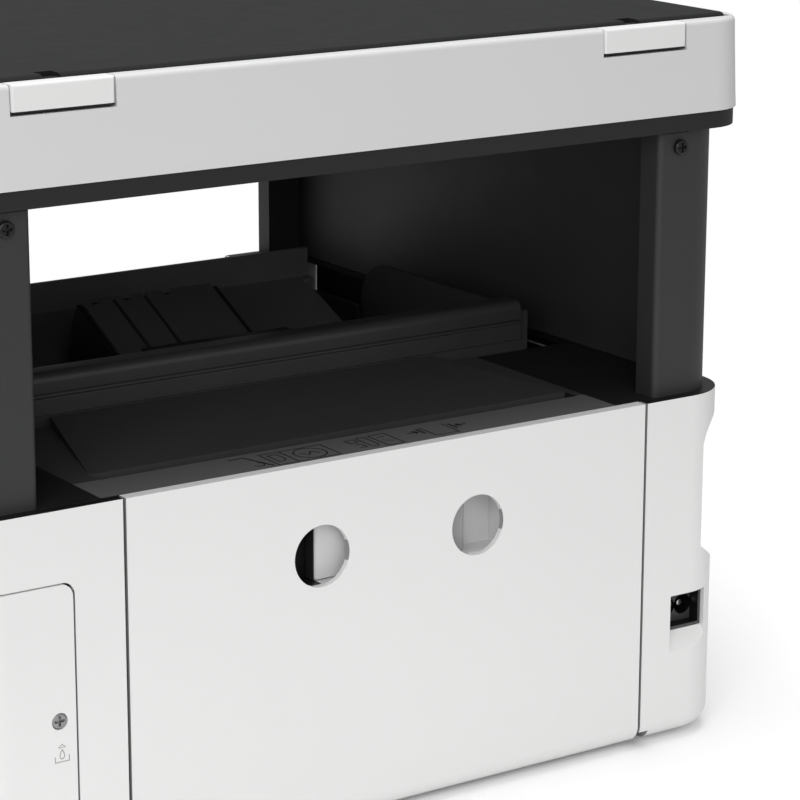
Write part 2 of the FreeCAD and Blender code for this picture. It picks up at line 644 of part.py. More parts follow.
def base_tray():
    """The floor pan with cassette runners and frame posts."""
    floor = body_plan(BODY_EDGE_ROUND + 2, BASE_FLOOR_BOTTOM, BASE_FLOOR_TOP)
    runners = [block(x - RUNNER_WIDTH / 2, x + RUNNER_WIDTH / 2, FRONT_Y + 30, CASSETTE_REAR_Y,
                     BASE_FLOOR_TOP - 1,
                     CASSETTE_BOTTOM_Z - FIT) for x in (-RUNNER_X, 0.0, RUNNER_X)]
    posts = []
    for side in (-1, 1):
        for y in (FRAME_FRONT_Y + 8, FRAME_REAR_Y - 8):
            x = side * (FRAME_HALF + FRAME_SHEET / 2)
            posts.append(block(x - 5, x + 5, y - 6, y + 6, BASE_FLOOR_TOP - 1, FRAME_BOTTOM_Z))
    return fuse([floor] + runners + posts)


def rubber_feet():
    """Four round feet under the floor pan."""
    feet = []
    for x in (-FOOT_X, FOOT_X):
        for y in (-FOOT_Y, FOOT_Y):
            pad = rod_z(0, BASE_FLOOR_BOTTOM, x, y, FOOT_RADIUS)
            feet.append(pad.makeChamfer(0.8, edges_at_z(pad, 0)))
    return Part.makeCompound(feet)


def front_fascia():
    """The front frame round the cassette and the output bay, with the shelf between them."""
    span = block(-BODY_HALF - 1, BODY_HALF + 1, FRONT_Y - 1, FASCIA_REAR_Y - SEAM / 2, 0, BODY_TOP + 1)
    cassette_window = block(-CASSETTE_FRONT_HALF - FIT, CASSETTE_FRONT_HALF + FIT, FRONT_Y - 1, 0, 0,
                            CASSETTE_FRONT_TOP_Z + 2 * FIT)
    output_window = block(-FRONT_WINDOW_HALF, FRONT_WINDOW_HALF, FRONT_Y - 1, 0, SHELF_Z, BODY_TOP + 1)
    shell = body_shell().common(span).cut(cassette_window).cut(output_window)
    shelf = block(-FRONT_WINDOW_HALF - WALL, FRONT_WINDOW_HALF + WALL, FRONT_Y + 1, SHELF_REAR_Y,
                  SHELF_Z, SHELF_Z + SHELF_THICKNESS)
    apron = block(-FRONT_WINDOW_HALF - WALL, FRONT_WINDOW_HALF + WALL, FRONT_Y, FRONT_Y + WALL,
                  CASSETTE_FRONT_TOP_Z + 2 * FIT, SHELF_Z + SHELF_THICKNESS)
    cheeks = [block(x - WALL / 2, x + WALL / 2, FRONT_Y + 1, SHELF_REAR_Y, SHELF_Z, BODY_TOP - WALL)
              for x in (-FRONT_WINDOW_HALF - WALL / 2, FRONT_WINDOW_HALF + WALL / 2)]
    return fuse([shell, shelf, apron] + cheeks)


def rear_cover():
    """The lift-off rear cover with finger holes, a latch box and arms for the turning roller."""
    span = block(COVER_X0, COVER_X1, REAR_Y - BODY_EDGE_ROUND - 1.5, REAR_Y + 1, 0, BODY_TOP + 1)
    plate = body_outer().cut(body_outer(WALL)).common(span)
    rim_y = REAR_Y - COVER_RIM
    top = block(COVER_X0, COVER_X1, rim_y, COVER_BACK_Y + 1, BODY_TOP - COVER_RIM, BODY_TOP)
    sides = [block(x, x + WALL, rim_y, COVER_BACK_Y + 1, BODY_BOTTOM + BODY_EDGE_ROUND, BODY_TOP)
             for x in (COVER_X0, COVER_X1 - WALL)]
    low = FINGER_HOLE_Z - LATCH_BOX_HALF
    high = FINGER_HOLE_Z + LATCH_BOX_HALF
    left = FINGER_HOLE_X[0] - LATCH_BOX_END
    right = FINGER_HOLE_X[1] + LATCH_BOX_END
    housing = block(left - LATCH_BOX_WALL, right + LATCH_BOX_WALL, LATCH_BACK_Y, COVER_BACK_Y + 1,
                    low - LATCH_BOX_WALL, high + LATCH_BOX_WALL)
    cavity = block(left, right, LATCH_BACK_Y + LATCH_BOX_WALL, COVER_BACK_Y, low, high)
    arms = []
    for x in DUPLEX_ARM_X:
        arm = block(x, x + DUPLEX_ARM, DUPLEX_Y, COVER_BACK_Y + 1, DUPLEX_Z - 6, DUPLEX_Z + 6)
        arm = arm.fuse(rod_x(x, x + DUPLEX_ARM, DUPLEX_Y, DUPLEX_Z, 6))
        arms.append(arm)
    cover = fuse([plate, top, housing] + sides + arms).cut(cavity)
    for x in FINGER_HOLE_X:
        cover = cover.cut(rod_y(COVER_BACK_Y - 1, REAR_Y + 1, x, FINGER_HOLE_Z, FINGER_HOLE_DIA / 2))
    return cover.cut(rod_x(COVER_X0, COVER_X1, DUPLEX_Y, DUPLEX_Z, ROLLER_SHAFT_RADIUS + RUNNING_FIT))


def latch(side):
    """A pinch latch: a thick tab with a rounded finger edge at the middle of its hole."""
    hole_x = FINGER_HOLE_X[0] if side < 0 else FINGER_HOLE_X[1]
    edge_x = hole_x - side * 1.0
    far_x = edge_x - side * LATCH_LENGTH
    y0 = LATCH_BACK_Y + LATCH_BOX_WALL + FIT
    tab = block(min(edge_x, far_x), max(edge_x, far_x), y0, y0 + LATCH_THICKNESS,
                FINGER_HOLE_Z - LATCH_HEIGHT / 2, FINGER_HOLE_Z + LATCH_HEIGHT / 2)
    front = [e for e in tab.Edges if e.BoundBox.YMin > y0 + LATCH_THICKNESS - 0.01
             and abs(e.BoundBox.XMin - edge_x) < 0.01 and abs(e.BoundBox.XMax - edge_x) < 0.01]
    return tab.makeFillet(2.0, front)


def roller(shaft_x, land_x, y, z, radius, shaft_radius, lands, land_length):
    """A shaft with evenly spaced rubber lands."""
    shaft = rod_x(shaft_x[0], shaft_x[1], y, z, shaft_radius)
    pitch = (land_x[1] - land_x[0]) / lands
    sleeves = []
    for index in range(lands):
        middle = land_x[0] + pitch * (index + 0.5)
        sleeves.append(rod_x(middle - land_length / 2, middle + land_length / 2, y, z, radius))
    return fuse([shaft] + sleeves)


def duplex_roller():
    shaft_x = (DUPLEX_ARM_X[0], DUPLEX_ARM_X[1] + DUPLEX_ARM)
    return roller(shaft_x, DUPLEX_ARM_X, DUPLEX_Y, DUPLEX_Z, DUPLEX_RADIUS, ROLLER_SHAFT_RADIUS, 4, 28.0)


def rear_feed_chute():
    """The dark deck behind the printing bay: lip, feed slot, sloping chute and the guides below it."""
    deck = deck_opening(FIT, DECK_Z, BODY_TOP)
    deck = deck.common(block(-BODY_HALF, BODY_HALF, DECK_FRONT_Y, REAR_Y, DECK_Z, BODY_TOP))
    slope = section_x([(DECK_FRONT_Y, BODY_TOP - 1), (DECK_FRONT_Y, CHUTE_HIGH_Z), (SLOT_FRONT_Y, BODY_TOP),
                       (SLOT_FRONT_Y, BODY_TOP - 1)], CHUTE_X_MIN, CHUTE_X_MAX)
    flare = section_z([(CHUTE_X_MIN + CHUTE_FLARE, DECK_FRONT_Y), (CHUTE_X_MAX - CHUTE_FLARE, DECK_FRONT_Y),
                       (CHUTE_X_MAX, SLOT_FRONT_Y), (CHUTE_X_MIN, SLOT_FRONT_Y)], DECK_Z, CHUTE_HIGH_Z + 1)
    slot = block(CHUTE_X_MIN, CHUTE_X_MAX, SLOT_FRONT_Y, LIP_FRONT_Y, DECK_Z - 1, CHUTE_HIGH_Z)
    guides = []
    for start_y, end_z in ((SLOT_FRONT_Y - CHUTE_PLATE, GUIDE_END_Z + 4.0),
                           (LIP_FRONT_Y, GUIDE_END_Z - 6.0)):
        outline = [(start_y, DECK_Z + 1), (start_y + CHUTE_PLATE, DECK_Z + 1),
                   (GUIDE_END_Y + CHUTE_PLATE, end_z), (GUIDE_END_Y, end_z)]
        guides.append(section_x(outline, CHUTE_X_MIN, CHUTE_X_MAX))
    return fuse([deck, slope.common(flare)]).cut(slot).fuse(guides).removeSplitter()


def neck_pillar(side):
    """A dark neck wall: rear flange with a rounded return, side wall, front post and hinge lug."""
    outer = body_plan(NECK_INSET, BODY_TOP, NECK_TOP)
    ring = outer.cut(body_plan(NECK_INSET + NECK_WALL, BODY_TOP - 1, NECK_TOP + 1))
    low, high = BODY_TOP - 1, NECK_TOP + 1
    keep = block(NECK_OPENING_HALF, BODY_HALF, 0, REAR_Y, low, high)
    keep = keep.fuse(block(NECK_FRONT_HALF, BODY_HALF, FRONT_Y, 1, low, high))
    wall = ring.common(keep)
    inner_edge = block(NECK_OPENING_HALF, NECK_OPENING_HALF + NECK_WALL, NECK_REAR_Y - NECK_RETURN,
                       NECK_REAR_Y,
                       BODY_TOP, NECK_TOP)
    upright = [e for e in inner_edge.Edges if e.BoundBox.ZMax - e.BoundBox.ZMin > 50
               and e.BoundBox.YMin > NECK_REAR_Y - 1 and e.BoundBox.XMax < NECK_OPENING_HALF + 1]
    inner_edge = inner_edge.makeFillet(NECK_WALL - 0.3, upright)
    wall = wall.cut(block(NECK_OPENING_HALF, NECK_OPENING_HALF + NECK_WALL, NECK_REAR_Y - NECK_RETURN,
                          NECK_REAR_Y, low, high))
    post_rear = FRONT_Y + NECK_INSET + NECK_FRONT_DEPTH
    post = outer.common(block(NECK_FRONT_HALF, BODY_HALF, FRONT_Y, post_rear, BODY_TOP, SCANNER_BOTTOM))
    stop = block(NECK_FRONT_HALF, NECK_HALF - 8, post_rear - 6, post_rear, NECK_TOP - 1,
                 SCANNER_BOTTOM - FIT)
    lug_x0 = SCANNER_LUG_X - SCANNER_LUG_WIDTH / 2
    lug_x1 = SCANNER_LUG_X + SCANNER_LUG_WIDTH / 2
    lug = block(lug_x0, lug_x1, NECK_REAR_Y - NECK_WALL, NECK_REAR_Y, NECK_TOP - 6, SCANNER_PIVOT_Z)
    lug = lug.fuse(rod_x(lug_x0, lug_x1, SCANNER_PIVOT_Y, SCANNER_PIVOT_Z, SCANNER_LUG_RADIUS))
    pillar = fuse([wall, inner_edge, post, stop, lug])
    pillar = pillar.cut(rod_x(lug_x0 - 1, lug_x1 + 1, SCANNER_PIVOT_Y, SCANNER_PIVOT_Z,
                              SCANNER_PIN_RADIUS + RUNNING_FIT))
    pillar = pillar.cut(rod_x(NECK_FRONT_HALF - 1, NECK_FRONT_HALF + 7, PANEL_PIVOT_Y, PANEL_PIVOT_Z,
                              PANEL_PIN_RADIUS + RUNNING_FIT))
    pillar = pillar.cut(rod_y(NECK_REAR_Y - 20, NECK_REAR_Y + 1, PILLAR_SCREW_X, PILLAR_SCREW_Z,
                              SCREW_SHANK + RUNNING_FIT))
    return pillar if side > 0 else mirror_x(pillar)


def phillips_screws():
    """Pan head screws with a cross recess: one on each pillar and one in the maintenance cover."""
    places = [(-PILLAR_SCREW_X, NECK_REAR_Y, PILLAR_SCREW_Z), (PILLAR_SCREW_X, NECK_REAR_Y, PILLAR_SCREW_Z),
              (SERVICE_SCREW_X, REAR_Y - WALL, SERVICE_SCREW_Z)]
    screws = []
    for x, y, z in places:
        head = rod_y(y, y + SCREW_HEAD, x, z, SCREW_RADIUS)
        head = head.makeFillet(0.9, [e for e in head.Edges if e.BoundBox.YMin > y + SCREW_HEAD - 0.01])
        shank = rod_y(y - SCREW_LENGTH, y, x, z, SCREW_SHANK)
        cross = block(x - 0.5, x + 0.5, y + 0.8, y + 3, z - 2, z + 2)
        cross = cross.fuse(block(x - 2, x + 2, y + 0.8, y + 3, z - 0.5, z + 0.5))
        screws.append(fuse([head, shank]).cut(cross))
    return Part.makeCompound(screws)


def main_frame():
    """The folded steel chassis: two side plates, a rear beam and two axle pins."""
    plates = []
    for x in (-FRAME_HALF, FRAME_HALF):
        plate = block(x - FRAME_SHEET / 2, x + FRAME_SHEET / 2, FRAME_FRONT_Y, FRAME_REAR_Y,
                      FRAME_BOTTOM_Z, FRAME_TOP_Z)
        corner = [e for e in plate.Edges if e.BoundBox.XMax - e.BoundBox.XMin > 1
                  and e.BoundBox.ZMin > FRAME_TOP_Z - 1 and e.BoundBox.YMax < 0]
        plates.append(plate.makeFillet(20.0, corner))
    beam = block(-FRAME_OUTER, FRAME_OUTER, FRAME_REAR_Y - FRAME_SHEET, FRAME_REAR_Y, BEAM_LOW_Z,
                 BEAM_HIGH_Z)
    idler_pin = rod_x(GEAR_X0, -FRAME_INNER, IDLER_Y, ROLLER_Z, ROLLER_SHAFT_RADIUS)
    pulley_pin = rod_y(BELT_Y - 1, FRAME_REAR_Y, PULLEY_X, PULLEY_Z, PULLEY_BORE)
    frame = fuse(plates + [beam, idler_pin, pulley_pin])
    for y, z, radius in ((FEED_Y, ROLLER_Z, ROLLER_SHAFT_RADIUS), (EXIT_Y, ROLLER_Z, ROLLER_SHAFT_RADIUS),
                         (FEED_Y, PINCH_Z, PINCH_SHAFT_RADIUS)):
        frame = frame.cut(rod_x(-FRAME_OUTER - 1, FRAME_OUTER + 1, y, z, radius + RUNNING_FIT))
    frame = frame.cut(rod_x(-FRAME_OUTER - 1, 0, FEED_Y, PINION_Z, PULLEY_BORE + RUNNING_FIT))
    return frame.cut(rod_y(0, FRAME_REAR_Y + 1, -PULLEY_X, PULLEY_Z, PULLEY_BORE + RUNNING_FIT))


def carriage_rail():
    """The bent rail that the carriage runs on, with a rounded nose and a lower web."""
    nose = block(-FRAME_INNER, FRAME_INNER, RAIL_FRONT_Y, FRAME_REAR_Y - FRAME_SHEET, RAIL_BOTTOM_Z,
                 RAIL_TOP_Z)
    long_edges = [e for e in nose.Edges if e.BoundBox.XLength > FRAME_HALF
                  and e.BoundBox.ZMin > RAIL_TOP_Z - 1]
    nose = nose.makeFillet(4.0, long_edges)
    web = block(-FRAME_INNER, FRAME_INNER, FRAME_REAR_Y - FRAME_SHEET - 4, FRAME_REAR_Y - FRAME_SHEET,
                BEAM_HIGH_Z - 6, RAIL_BOTTOM_Z + 1)
    groove = block(-FRAME_INNER, FRAME_INNER, FRAME_REAR_Y - FRAME_SHEET - RAIL_GROOVE, FRAME_REAR_Y,
                   RAIL_BOTTOM_Z - RAIL_GROOVE, RAIL_BOTTOM_Z)
    return fuse([nose, web]).cut(groove)


def platen():
    """The ribbed printing bed with two cross bars that reach the side plates."""
    low = PLATEN_TOP_Z - PLATEN_HEIGHT
    bed = block(PLATEN_X_MIN, PLATEN_X_MAX, PLATEN_FRONT_Y, PLATEN_REAR_Y, low, PLATEN_TOP_Z)
    hollow = block(PLATEN_X_MIN + WALL, PLATEN_X_MAX - WALL, PLATEN_FRONT_Y + WALL, PLATEN_REAR_Y - WALL,
                   low - 1, PLATEN_TOP_Z - WALL)
    bars = [block(-FRAME_INNER, FRAME_INNER, y - BAR_WIDTH / 2, y + BAR_WIDTH / 2, low,
                  low + BAR_WIDTH / 2) for y in (PLATEN_FRONT_Y + BAR_INSET, PLATEN_REAR_Y - BAR_INSET)]
    pitch = (PLATEN_X_MAX - PLATEN_X_MIN) / PLATEN_RIBS
    ribs = []
    for index in range(PLATEN_RIBS):
        x = PLATEN_X_MIN + pitch * (index + 0.5)
        ribs.append(block(x - RIB_WIDTH / 2, x + RIB_WIDTH / 2, PLATEN_FRONT_Y + 2, PLATEN_REAR_Y - 2,
                          PLATEN_TOP_Z - 1,
                          PLATEN_TOP_Z + RIB_HEIGHT))
    return fuse([bed.cut(hollow)] + bars + ribs)


def cap_station():
    """The parking cap and wiper at the end of the platen."""
    low = PLATEN_TOP_Z - PLATEN_HEIGHT + BAR_WIDTH / 2
    rear_y = PLATEN_REAR_Y - CAP_SEAT_INSET
    front_y = PLATEN_FRONT_Y + CAP_SEAT_INSET
    base = block(PLATEN_X_MAX + CAP_STATION_GAP, FRAME_INNER - CAP_STATION_GAP, PLATEN_FRONT_Y + BAR_WIDTH,
                 PLATEN_REAR_Y, low, PLATEN_TOP_Z - 2 * WIPER_THICKNESS)
    cap_x = PLATEN_X_MAX + CAP_SEAT_GAP
    cap = block(cap_x, cap_x + CAP_SEAT_WIDTH, front_y, rear_y, low, PLATEN_TOP_Z)
    hollow = block(cap_x + WALL, cap_x + CAP_SEAT_WIDTH - WALL, front_y + WALL, rear_y - WALL,
                   PLATEN_TOP_Z - WALL, PLATEN_TOP_Z + 1)
    wiper_x = PLATEN_X_MAX + CAP_SEAT_GAP / 2
    wiper = block(wiper_x, wiper_x + WIPER_THICKNESS, front_y, rear_y, low, PLATEN_TOP_Z + 1)
    return fuse([base, cap, wiper]).cut(hollow)


def exit_frame():
    """The cross beam over the exit roller, with lugs for the star wheel shaft."""
    top = STAR_Z + STAR_RADIUS + STAR_THICKNESS
    half = EXIT_BEAM_WIDTH / 2
    beam = block(-FRAME_INNER, FRAME_INNER, EXIT_Y - half, EXIT_Y + half, top, top + EXIT_BEAM_HEIGHT)
    trough = block(-FRAME_INNER - 1, FRAME_INNER + 1, EXIT_Y - half + FRAME_SHEET,
                   EXIT_Y + half - FRAME_SHEET,
                   top + FRAME_SHEET, top + EXIT_BEAM_HEIGHT + 1)
    lugs = []
    for index in range(STAR_COUNT + 1):
        x = -FRAME_INNER + LUG_INSET + LUG_PITCH * index
        lugs.append(block(x - LUG_WIDTH / 2, x + LUG_WIDTH / 2, EXIT_Y - STAR_RADIUS, EXIT_Y + STAR_RADIUS,
                          STAR_Z - 2 * STAR_SHAFT_RADIUS, top + 1))
    hole = rod_x(-FRAME_INNER - 1, FRAME_INNER + 1, EXIT_Y, STAR_Z, STAR_SHAFT_RADIUS + RUNNING_FIT)
    return fuse([beam.cut(trough)] + lugs).cut(hole)


def star_wheels():
    """Thin toothed wheels on one shaft."""
    shaft = rod_x(-FRAME_INNER + 3, FRAME_INNER - 3, EXIT_Y, STAR_Z, STAR_SHAFT_RADIUS)
    step = math.pi / STAR_TEETH
    wheels = []
    for index in range(STAR_COUNT):
        x = -FRAME_INNER + LUG_INSET + LUG_PITCH * (index + 0.5)
        outline = []
        for point in range(2 * STAR_TEETH):
            radius = STAR_RADIUS * (1.0 if point % 2 == 0 else 0.75)
            outline.append((EXIT_Y + radius * math.cos(step * point),
                            STAR_Z + radius * math.sin(step * point)))
        wheels.append(section_x(outline, x - STAR_THICKNESS / 2, x + STAR_THICKNESS / 2))
    return fuse([shaft] + wheels)


def driven_roller(y, phase):
    """A rubber roller through both side plates, with its gear outside the left one."""
    lands = (-FRAME_INNER + 20, FRAME_INNER - 55)
    body = roller((GEAR_X0, FRAME_OUTER + 1), lands, y, ROLLER_Z, ROLLER_RADIUS, ROLLER_SHAFT_RADIUS, 4,
                  40.0)
    return fuse([body, gear_x(GEAR_X0, GEAR_X1, y, ROLLER_Z, ROLLER_GEAR_TEETH, 0, phase)])


def feed_roller():
    return driven_roller(FEED_Y, 0.0)


def exit_roller():
    return driven_roller(EXIT_Y, math.pi / ROLLER_GEAR_TEETH)


def idler_gear():
    return gear_x(GEAR_X0, GEAR_X1, IDLER_Y, ROLLER_Z, IDLER_GEAR_TEETH, ROLLER_SHAFT_RADIUS + RUNNING_FIT,
                  math.pi / IDLER_GEAR_TEETH)


def motor_pinion():
    shaft = rod_x(GEAR_X0, -FRAME_INNER + 4, FEED_Y, PINION_Z, PULLEY_BORE)
    return fuse([gear_x(GEAR_X0, GEAR_X1, FEED_Y, PINION_Z, PINION_TEETH, 0), shaft])


def pinch_rollers():
    return roller((-FRAME_OUTER, FRAME_OUTER), (-FRAME_INNER + 20, FRAME_INNER - 55), FEED_Y, PINCH_Z,
                  PINCH_RADIUS, PINCH_SHAFT_RADIUS, 4, 30.0)


def feed_motor():
    can = rod_x(-FRAME_INNER, -FRAME_INNER + MOTOR_LENGTH, FEED_Y, PINION_Z, MOTOR_RADIUS)
    can = can.makeChamfer(1.5, [e
                                for e in can.Edges if e.BoundBox.XMin > -FRAME_INNER + MOTOR_LENGTH - 0.1])
    return can.cut(rod_x(-FRAME_INNER - 1, -FRAME_INNER + 5, FEED_Y, PINION_Z, PULLEY_BORE + RUNNING_FIT))


def carriage_motor():
    can = rod_y(FRAME_REAR_Y, FRAME_REAR_Y + MOTOR_LENGTH, -PULLEY_X, PULLEY_Z, MOTOR_RADIUS)
    can = can.makeChamfer(1.5, [e
                                for e in can.Edges if e.BoundBox.YMin > FRAME_REAR_Y + MOTOR_LENGTH - 0.1])
    return can.cut(rod_y(FRAME_REAR_Y - 1, FRAME_REAR_Y + 5, -PULLEY_X, PULLEY_Z,
                         PULLEY_BORE + RUNNING_FIT))


def pulley(x):
    """A flanged belt pulley on an axis along Y."""
    hub = rod_y(BELT_Y - 0.3, BELT_Y + BELT_WIDTH + 0.3, x, PULLEY_Z, PULLEY_RADIUS)
    flanges = [rod_y(y, y + 0.8, x, PULLEY_Z, PULLEY_RADIUS + 1.4)
               for y in (BELT_Y - 1.1, BELT_Y + BELT_WIDTH + 0.3)]
    return fuse([hub] + flanges)


def drive_pulley():
    shaft = rod_y(BELT_Y, FRAME_REAR_Y + 4, -PULLEY_X, PULLEY_Z, PULLEY_BORE)
    return fuse([pulley(-PULLEY_X), shaft])


def idler_pulley():
    return pulley(PULLEY_X).cut(rod_y(0, FRAME_REAR_Y, PULLEY_X, PULLEY_Z, PULLEY_BORE + RUNNING_FIT))


def belt_loop(radius, y0, y1):
    """A flat loop round both pulleys."""
    middle = block(-PULLEY_X, PULLEY_X, y0, y1, PULLEY_Z - radius, PULLEY_Z + radius)
    return fuse([middle, rod_y(y0, y1, -PULLEY_X, PULLEY_Z, radius),
                 rod_y(y0, y1, PULLEY_X, PULLEY_Z, radius)])


def timing_belt():
    inner = PULLEY_RADIUS + FIT
    outer = belt_loop(inner + BELT_THICKNESS, BELT_Y, BELT_Y + BELT_WIDTH)
    return outer.cut(belt_loop(inner, BELT_Y - 1, BELT_Y + BELT_WIDTH + 1))


def encoder_strip():
    y = CARRIAGE_FRONT_Y - STRIP_GAP
    top = CARRIAGE_TOP_Z - STRIP_DROP
    return block(-FRAME_INNER, FRAME_INNER, y - STRIP_THICKNESS, y, top - STRIP_HEIGHT, top)


def strap_slab(x0, x1, drop, thickness):
    """A slab along the tilt of the carriage straps, hung below their upper face."""
    slab = block(x0, x1, STRAP_REAR_Y - STRAP_LENGTH, STRAP_REAR_Y, STRAP_REAR_Z - drop - thickness,
                 STRAP_REAR_Z - drop)
    slab.rotate(vec(x0, STRAP_REAR_Y, STRAP_REAR_Z), vec(1, 0, 0), -STRAP_TILT)
    return slab


def print_carriage():
    """The carriage box with the tilted bed of its straps, a rail shoe and a belt clamp."""
    body = block(CARRIAGE_X0, CARRIAGE_X1, CARRIAGE_FRONT_Y, CARRIAGE_REAR_Y, CARRIAGE_BOTTOM_Z,
                 CARRIAGE_TOP_Z)
    top_edges = [e for e in body.Edges if e.BoundBox.XLength > CARRIAGE_WIDTH / 2
                 and e.BoundBox.ZMin > CARRIAGE_TOP_Z - 1]
    body = body.makeChamfer(CARRIAGE_CHAMFER, top_edges)
    shoe = block(CARRIAGE_X0, CARRIAGE_X1, CARRIAGE_REAR_Y - SHOE_DEPTH, RAIL_FRONT_Y - FIT,
                 CARRIAGE_TOP_Z - SHOE_HEIGHT, RAIL_TOP_Z - WALL)
    clamp = block(CARRIAGE_X - CLAMP_HALF, CARRIAGE_X + CLAMP_HALF, CARRIAGE_REAR_Y - 1, BELT_Y - FIT,
                  PULLEY_Z + BELT_THICKNESS, PULLEY_Z + PULLEY_RADIUS + WALL)
    bed = strap_slab(CARRIAGE_X0, CARRIAGE_X1, STRAP_THICKNESS, STRAP_LENGTH)
    above = block(CARRIAGE_X0, CARRIAGE_X1, CARRIAGE_FRONT_Y + CARRIAGE_CHAMFER, STRAP_REAR_Y,
                  CARRIAGE_TOP_Z - 1, STRAP_REAR_Z + STRAP_LENGTH)
    return fuse([body, shoe, clamp, bed.common(above)])


def carriage_straps():
    """Flat tilted cover plates side by side with narrow gaps, each with a notched front end."""
    straps = []
    x1 = STRAP_RIGHT_X
    for width in reversed(STRAP_WIDTHS):
        strap = strap_slab(x1 - width, x1, 0.0, STRAP_THICKNESS)
        front_y = strap.BoundBox.YMin
        notch = block(x1 - width / 4 - STRAP_NOTCH, x1 - width / 4, front_y - 1, front_y + STRAP_NOTCH,
                      CARRIAGE_TOP_Z, STRAP_REAR_Z + STRAP_LENGTH)
        straps.append(strap.cut(notch))
        x1 -= width + STRAP_GAP
    return Part.makeCompound(straps)


def print_head():
    plate = block(CARRIAGE_X0 + HEAD_INSET, CARRIAGE_X1 - HEAD_INSET, CARRIAGE_FRONT_Y + HEAD_INSET,
                  CARRIAGE_REAR_Y - HEAD_INSET, CARRIAGE_BOTTOM_Z - HEAD_DROP, CARRIAGE_BOTTOM_Z)
    return plate.makeChamfer(1.0, edges_at_z(plate, CARRIAGE_BOTTOM_Z - HEAD_DROP))


def front_beam():
    """The dark bar across the front of the bay, with a sloping ceiling behind it and two feet."""
    half = FRONT_WINDOW_HALF + WALL
    front = FRONT_BEAM_Y - FRAME_SHEET / 2
    rear = FRONT_BEAM_Y + FRAME_SHEET / 2
    bar = block(-half, half, front, rear, FRONT_BEAM_Z, FRONT_BEAM_TOP_Z)
    outline = [(front, FRONT_BEAM_Z), (CEILING_REAR_Y, CEILING_REAR_Z - FRAME_SHEET),
               (CEILING_REAR_Y, CEILING_REAR_Z),
               (rear, FRONT_BEAM_Z + FRAME_SHEET), (front, FRONT_BEAM_Z + FRAME_SHEET)]
    ceiling = section_x(outline, -FRONT_WINDOW_HALF + FIT, FRONT_WINDOW_HALF - FIT)
    feet = [block(x - WALL, x + WALL, FRONT_BEAM_Y - BEAM_FOOT, FRONT_BEAM_Y + BEAM_FOOT, BODY_TOP - WALL,
                  FRONT_BEAM_Z + FRAME_SHEET) for x in (-half + WALL, half - WALL)]
    return fuse([bar, ceiling] + feet)


def cassette_tray():
    """The drawer with its front panel, finger hollow and pinion post."""
    box = block(-CASSETTE_HALF, CASSETTE_HALF, CASSETTE_BOX_FRONT_Y - 2, CASSETTE_REAR_Y, CASSETTE_BOTTOM_Z,
                CASSETTE_TOP_Z)
    inside = block(-CASSETTE_HALF + CASSETTE_WALL, CASSETTE_HALF - CASSETTE_WALL, CASSETTE_BOX_FRONT_Y,
                   CASSETTE_REAR_Y - CASSETTE_WALL, CASSETTE_FLOOR_TOP, CASSETTE_TOP_Z + 1)
    panel = block(-CASSETTE_FRONT_HALF, CASSETTE_FRONT_HALF, FRONT_Y, CASSETTE_BOX_FRONT_Y,
                  BASE_FLOOR_TOP + FIT,
                  CASSETTE_FRONT_TOP_Z)
    front_edges = [e for e in panel.Edges if e.BoundBox.YMax < FRONT_Y + 0.01]
    panel = panel.makeFillet(2.0, front_edges)
    hollow = block(-50, 50, FRONT_Y - 1, FRONT_Y + 9, 0, CASSETTE_BOTTOM_Z + 16)
    upright = [e for e in hollow.Edges if e.BoundBox.ZMin > CASSETTE_BOTTOM_Z + 15
               and e.BoundBox.YMax - e.BoundBox.YMin > 5]
    hollow = hollow.makeFillet(6.0, upright)
    post = rod_z(CASSETTE_FLOOR_TOP - 1, CASSETTE_FLOOR_TOP + RACK_HEIGHT, 0, GUIDE_Y, 3.0)
    return fuse([box.cut(inside), panel.cut(hollow), post])


def edge_guide(side):
    """A side guide with a toothed rack that reaches the pinion; the other guide is its half turn."""
    wall = block(GUIDE_HALF, GUIDE_HALF + GUIDE_THICKNESS, GUIDE_Y - GUIDE_LENGTH / 2,
                 GUIDE_Y + GUIDE_LENGTH / 2,
                 CASSETTE_FLOOR_TOP + FIT, CASSETTE_FLOOR_TOP + FIT + GUIDE_HEIGHT)
    ends = [e for e in wall.Edges if e.BoundBox.XMax - e.BoundBox.XMin > 2
            and e.BoundBox.ZMin > CASSETTE_FLOOR_TOP + GUIDE_HEIGHT - 1]
    wall = wall.makeFillet(8.0, ends)
    pitch_y = GUIDE_Y - RACK_PITCH_RADIUS
    root = pitch_y - 1.15 * GUIDE_MODULE
    tip = pitch_y + 0.9 * GUIDE_MODULE
    pitch = math.pi * GUIDE_MODULE
    low = CASSETTE_FLOOR_TOP + FIT
    bar = block(-RACK_END_X, GUIDE_HALF + 1, root - RACK_BACK, root, low, low + RACK_HEIGHT - FIT)
    teeth = []
    for index in range(int(RACK_LENGTH / pitch)):
        middle = pitch * (index + 0.5 - 2)
        outline = [(middle - 0.34 * pitch, root - 0.1), (middle - 0.11 * pitch, tip),
                   (middle + 0.11 * pitch, tip),
                   (middle + 0.34 * pitch, root - 0.1)]
        if middle - 0.34 * pitch > -RACK_END_X:
            teeth.append(section_z(outline, low, low + RACK_HEIGHT - FIT))
    guide = fuse([wall, bar] + teeth)
    if side < 0:
        guide.rotate(vec(0, GUIDE_Y, 0), vec(0, 0, 1), 180)
    return guide


